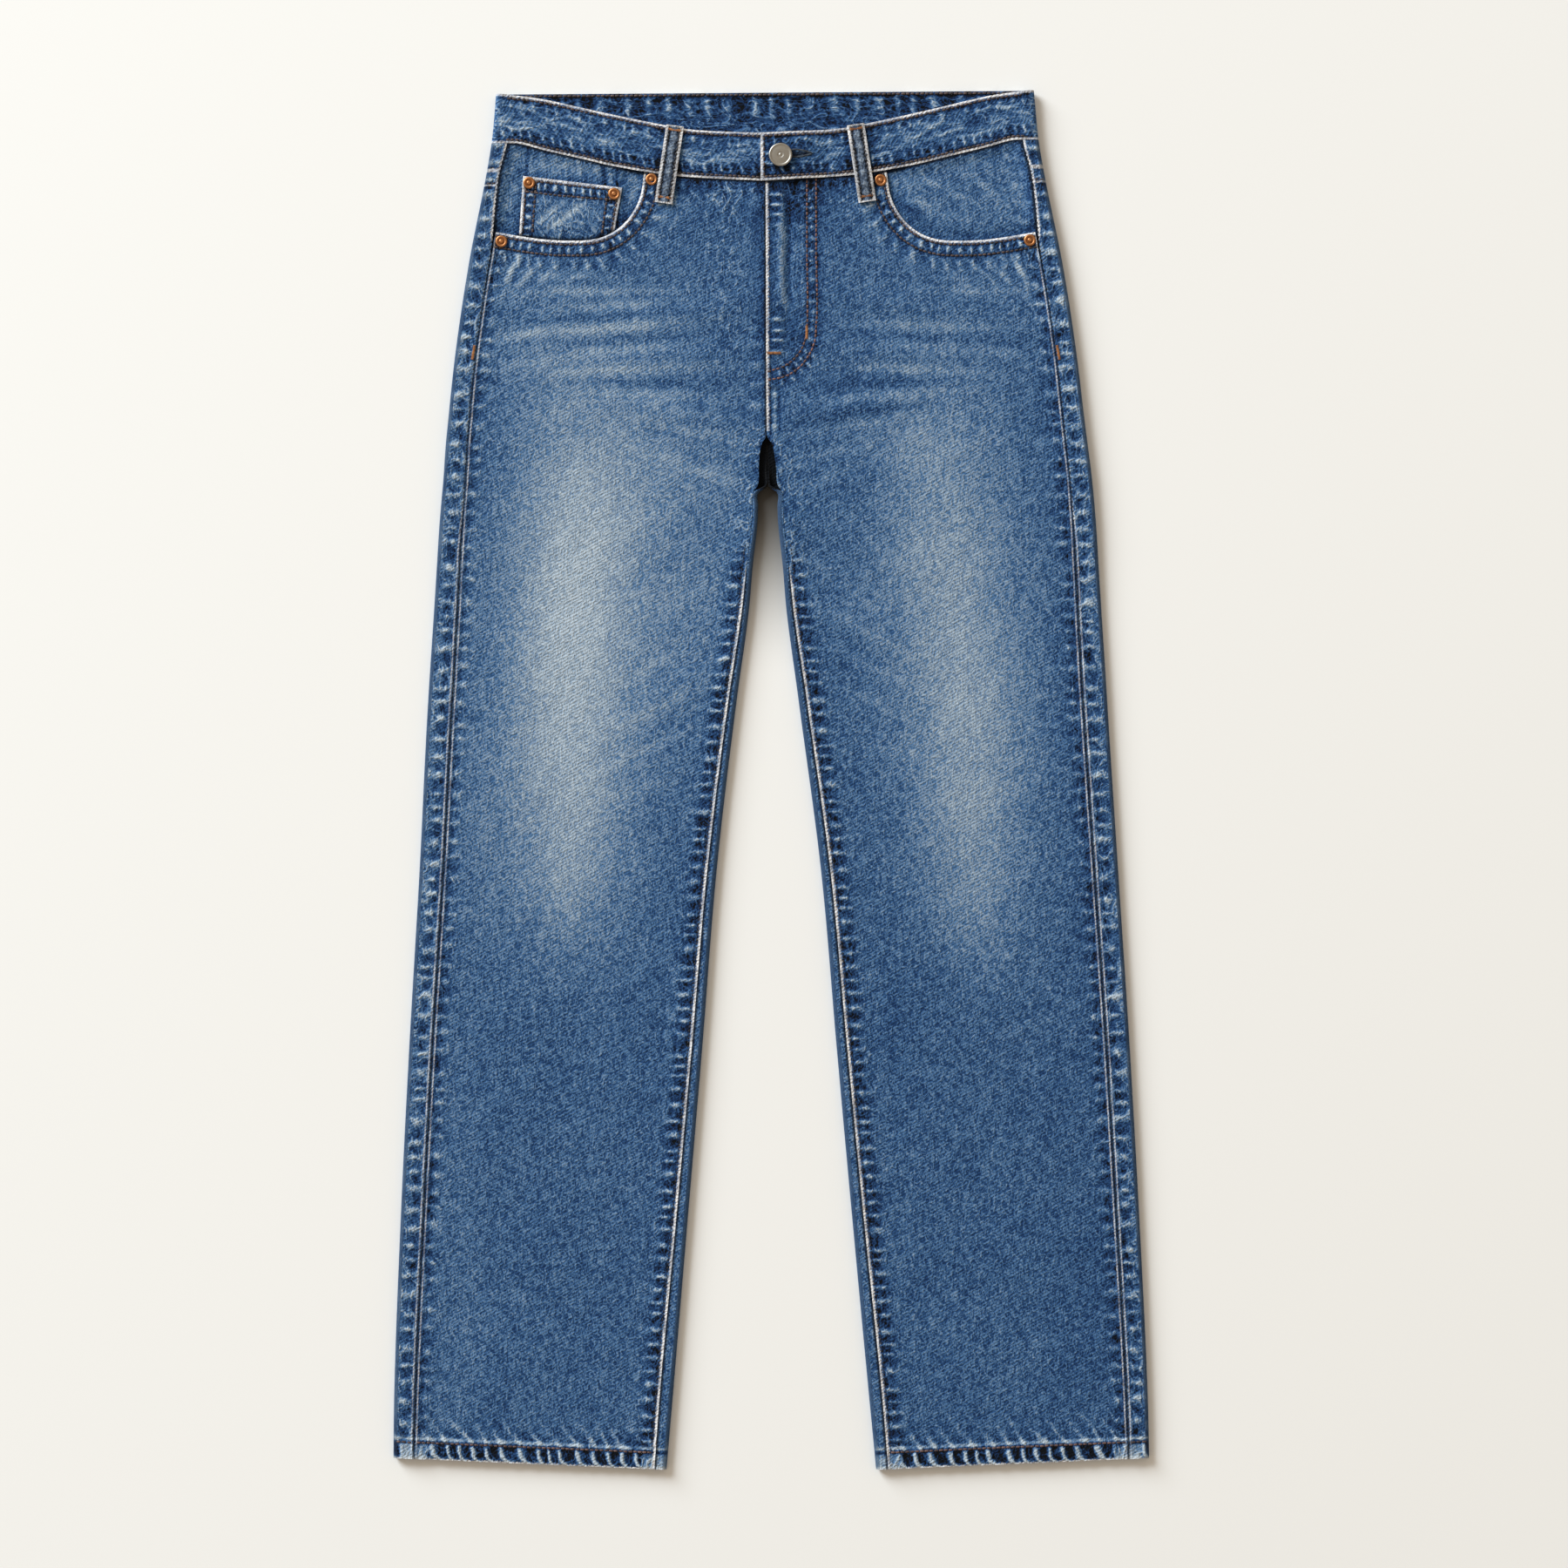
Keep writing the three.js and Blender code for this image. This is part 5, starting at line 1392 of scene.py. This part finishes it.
# One object with all the stitches of a thread.
def makeThread(thread):
    verts, quads, lids, first = [], [], [], 0
    for starts, ends, width in thread["rows"]:
        v, q, c = stitchMesh(starts, ends, width, threadShape["height"] * width / threadShape["width"])
        verts.append(v)
        quads.append(q + first)
        lids.append(c + first)
        first += len(v)
    mesh = bpy.data.meshes.new(thread["name"])
    faces = np.concatenate(quads).tolist() + np.concatenate(lids).tolist()
    mesh.from_pydata((np.concatenate(verts) * mm).tolist(), [], faces)
    mesh.polygons.foreach_set("use_smooth", np.ones(len(mesh.polygons), bool))
    mesh.materials.append(thread["material"])
    piece = bpy.data.objects.new(thread["name"], mesh)
    bpy.context.scene.collection.objects.link(piece)
    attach(piece, "root")


# Where a place on the front lies, with the relief of its cloth and a thread's half thickness above it.
def onPanel(side, x, h, above=0.12):
    relief = frontSurface(side, x, h)[0]
    return place(side, x, h, panelZ(side, x, h) + relief + above)


# A point on the strip of the back that shows on the front, just above its face.
def onLip(side, x, h, above=0.12):
    ones = np.ones_like(x)
    relief = backSurface(side, x, h, ones, (x > outerSeam(h) - 1) * 1.0)[0]
    return place(side, x, h, topZ(side, x, h) + relief + above)


# A point on the band front, from its top edge or its lower seam.
def onBandFront(side, x, toTop=None, toLow=None):
    low = frontSeam(np.abs(x)) + tilt(side, x) + gap / 2
    high = frontTop(np.abs(x)) + tilt(side, x)
    v = toLow / (high - low) if toTop is None else 1 - toTop / (high - low)
    return bandFront(side, x, v)[0] + [0, 0, 0.12]


# A line moved sideways by a distance, to the right of its direction.
def offsetLine(line, distance):
    step = np.gradient(line, axis=0)
    step /= np.linalg.norm(step, axis=1, keepdims=True)
    return line + np.stack([step[:, 1], -step[:, 0]], -1) * distance


# Evenly spaced values from one number to another.
def span(a, b, count=60):
    return np.linspace(a, b, count)


# Rows on the panels: outseams, inseams, mouths and hems.
def sewPanels(brown, dark, hemThread):
    mouth = alongLine(mouthRows, 160)
    for name, side in sides:
        for distance in (2.9, 11.2):
            row = offsetLine(mouth, distance)
            row = row[(row[:, 1] < panelTopEdge(side, row[:, 0]) - 1.2)
                      & (row[:, 0] < outerSeam(row[:, 1]) - 1)]
            sew(brown, onPanel(side, row[:, 0], row[:, 1]))
        x = span(90.5, 269, 220)
        sew(hemThread, onPanel(side, x, hemRow(x) + 12.7), 3.4, 0.2, 1.7)
        x = span(272.5, 285.0, 20)
        sew(hemThread, onLip(side, x, hemRow(x) + 12.7), 3.4, 0.2, 1.7)
        h = span(14, 702, 640)
        sew(dark, onPanel(side, inseam(h) + 3.2, h), 1.9, 1.1, 0.8)
        h = span(15, 1000, 800)
        sew(dark, onLip(side, outerSeam(h) + 0.5, h, 0.0), 2.0, 1.6, 0.6)
        level = 976.4 + side * 1.5
        x = span(float(outerSeam(level)) + 1.6, float(halfWidth(level)) - 1.5, 12)
        sew(brown, onLip(side, x, level + 0 * x), width=1.0)


# Rows on the fly.
def sewFly(twine, dark):
    for key in ("innerRow", "outerRow"):
        row = alongLine(flyShape[key], 140)
        sew(twine, onPanel(1, row[:, 0], row[:, 1]))
    h = span(976, 790, 180)
    sew(dark, onPanel(1, 2.9 + 0 * h, h), 1.5, 0.9, 0.8)


# Rows along the edges of the band.
def sewBand(brown):
    for side, start in ((1, -bandShape["overlap"] + 2.6), (-1, 0.5)):
        x = span(start, 196, 200)
        sew(brown, onBandFront(side, x, toTop=2.7 + 0 * x))
        sew(brown, onBandFront(side, x, toLow=2.7 + 0 * x))
    toLow = span(2.7, 33.5, 30)
    sew(brown, onBandFront(1, -bandShape["overlap"] + 2.7 + 0 * toLow, toLow=toLow))
    t = span(-0.98, 0.98, 300)
    x = t * bandEnd(bandShape["middle"])
    h = backBand["top"] + garment["waistTilt"] * x - 1.6
    z = garment["hipLift"] + bandShape["thickness"] + 0.15
    sew(brown, place(1, t * bandEnd(h), h, z), 3.4, 0.2, 1.7)


# Rows on the coin pocket.
def sewCoinPocket(brown):
    for depth in (2.6, 10.2):
        u = span(0.03, 0.97)
        sew(brown, coinPoint(u, 1 - depth / 42.0)[0] + [0, 0, 0.12])
        v = span(0.12, 0.96)
        for u in (depth / 75.0, 1 - depth / 75.0):
            sew(brown, coinPoint(u + 0 * v, v)[0] + [0, 0, 0.12])


# Rows and tacks on the belt loops.
def sewLoops(dark, tack):
    for name, side in sides:
        t = span(0.05, 0.95)
        for edge in (-1, 1):
            offset = edge * (loopShape["width"] / 2 - 2.8)
            sew(dark, loopPoint(side, t, offset + 0 * t)[0] + [0, 0, 0.12], 2.2, 1.0)
        for t in (0.055, 0.925):
            ends = loopPoint(side, np.array([t, t]), np.array([-4.6, 4.6]))[0] + [0, 0, 0.3]
            sewTack(tack, ends[0], ends[1], 2.0)


# Bar tacks at the outseams and the fly.
def sewTacks(tack):
    for side, x in ((-1, 221.6), (1, 221.4)):
        ends = onLip(side, np.array([x + 0.9, x - 0.9]), np.array([841.5, 852.0]), 0.45)
        sewTack(tack, ends[0], ends[1], 2.0)
    ends = onPanel(1, np.array([31.0, 31.0]), np.array([867.2, 857.4]), 0.4)
    sewTack(tack, ends[0], ends[1], 2.0)
    ends = onPanel(1, np.array([1.0, 11.0]), np.array([846.4, 846.4]), 0.4)
    sewTack(tack, ends[0], ends[1], 2.0)


# Buttonhole: close stitches that stand out round a narrowing slot beside the button.
def sewButtonhole(pale):
    angle = np.linspace(0, 2 * math.pi, 74, endpoint=False)
    share = 0.5 + 0.5 * np.cos(angle)
    half = mix(3.4, 0.5, share ** 0.8)
    x = mix(18.5, 34.5, share)
    toLow = 19.4 - 1.0 * share + half * np.sin(angle)
    start = onBandFront(1, x, toLow=toLow) + [0, 0, 0.1]
    end = onBandFront(1, x + 1.3 * np.cos(angle), toLow=toLow + 1.5 * np.sin(angle)) + [0, 0, 0.1]
    pale["rows"].append((start, end, 0.8))


print("sewing")
darkThread = sewingThread("darkThread", "#2A2A33", "#0F1118")
flyThread = newThread("flyStitches", sewingThread("flyTwine", "#7A554A", "#40302E"))
brown, dark = newThread("brownStitches", brownThread), newThread("darkStitches", darkThread)
pale, tacks = newThread("paleStitches", paleThread), newThread("barTacks", tackThread)
hemThread = newThread("hemStitches", sewingThread("hemTwine", "#6A504A", "#33272A"))
sewPanels(brown, dark, hemThread)
sewFly(flyThread, dark)
sewBand(brown)
sewCoinPocket(brown)
sewLoops(dark, tacks)
sewTacks(tacks)
sewButtonhole(pale)
for thread in (brown, dark, pale, tacks, hemThread, flyThread):
    makeThread(thread)

studio = {"field": 1.188, "lens": 85.0, "sensor": 36.0, "centre": (0.0096, -0.0030), "focusHeight": 0.007,
          "keyAt": (-8.4, 8.2, 5.1), "keySize": 6.6, "keyPower": 2700.0, "keyColour": "#EBF6FF",
          "skyStrength": 0.468, "skyColour": "#FFF0DC", "floor": "#F6F4F0", "floorSize": 6.0,
          "shadeColour": "#211A10", "shadeAcross": (0.034, 0.008), "shadeUp": (0.077, 0.222),
          "shadeTop": (0.45, 0.40)}


# Camera straight above the middle of the photograph's field.
def makeCamera():
    data = bpy.data.cameras.new("topCamera")
    data.type = "PERSP"
    data.lens, data.sensor_width = studio["lens"], studio["sensor"]
    data.clip_end = 50
    camera = bpy.data.objects.new("topCamera", data)
    distance = studio["field"] * studio["lens"] / studio["sensor"]
    camera.location = (*studio["centre"], distance + studio["focusHeight"])
    bpy.context.scene.collection.objects.link(camera)
    bpy.context.scene.camera = camera


# Matt emulsion paint, rolled on: no gloss, no pattern. Below the crotch, where the legs nearly touch, it is
# shaded: one smooth step of the distance from the centre line times two of the place along it.
def makeFloor():
    material, tree = newMaterial("paintedFloor")
    spot = addNode(tree, "ShaderNodeTexCoord").outputs["Object"]
    axes = addNode(tree, "ShaderNodeSeparateXYZ", i0=spot).outputs
    values = {"across": axes[0], "up": axes[1]}
    addSteps(tree, values, [("across", "ADD", "across", 0.003), ("across", "ABSOLUTE", "across"),
                            ("across", "FADE", "across", *studio["shadeAcross"], 1.0),
                            ("top", "FADE", "up", *studio["shadeTop"], 1.0),
                            ("up", "FADE", "up", *studio["shadeUp"], 0.94),
                            ("shade", "MULTIPLY", "across", "up"), ("shade", "MULTIPLY", "shade", "top")])
    colour = addNode(tree, "ShaderNodeMix", {"data_type": "RGBA"}, i0=values["shade"],
                     i6=toLinear(studio["floor"]), i7=toLinear(studio["shadeColour"])).outputs[2]
    shader = addNode(tree, "ShaderNodeBsdfPrincipled", Base_Color=colour, Roughness=0.95,
                     Specular_IOR_Level=0.1)
    addNode(tree, "ShaderNodeOutputMaterial", i0=shader.outputs[0])
    half = studio["floorSize"] / 2
    verts = np.array([[-half, -half, 0], [half, -half, 0], [half, half, 0], [-half, half, 0]])
    floor = newMesh("floor", verts - [0, 0, 0.0002], np.array([[0, 1, 2, 3]]))
    floor.data.materials.append(material)


# A large soft key from the upper left, and a warm sky.
def makeLight():
    panel = bpy.data.lights.new("softKey", "AREA")
    panel.size, panel.energy = studio["keySize"], studio["keyPower"]
    panel.color = toLinear(studio["keyColour"])[:3]
    lamp = bpy.data.objects.new("softKey", panel)
    lamp.location = studio["keyAt"]
    lamp.rotation_euler = Vector(studio["keyAt"]).to_track_quat("Z", "Y").to_euler()
    bpy.context.scene.collection.objects.link(lamp)
    world = bpy.data.worlds.new("studio")
    world.use_nodes = True
    background = world.node_tree.nodes["Background"]
    background.inputs["Color"].default_value = toLinear(studio["skyColour"])
    background.inputs["Strength"].default_value = studio["skyStrength"]
    bpy.context.scene.world = world
    bpy.context.scene.view_settings.view_transform = "Standard"


print("stage")
makeCamera()
makeFloor()
makeLight()
total = sum(len(p.data.loops) - 2 * len(p.data.polygons) for p in bpy.data.objects if p.type == "MESH"
            and not p.hide_render)
print("triangles", total)
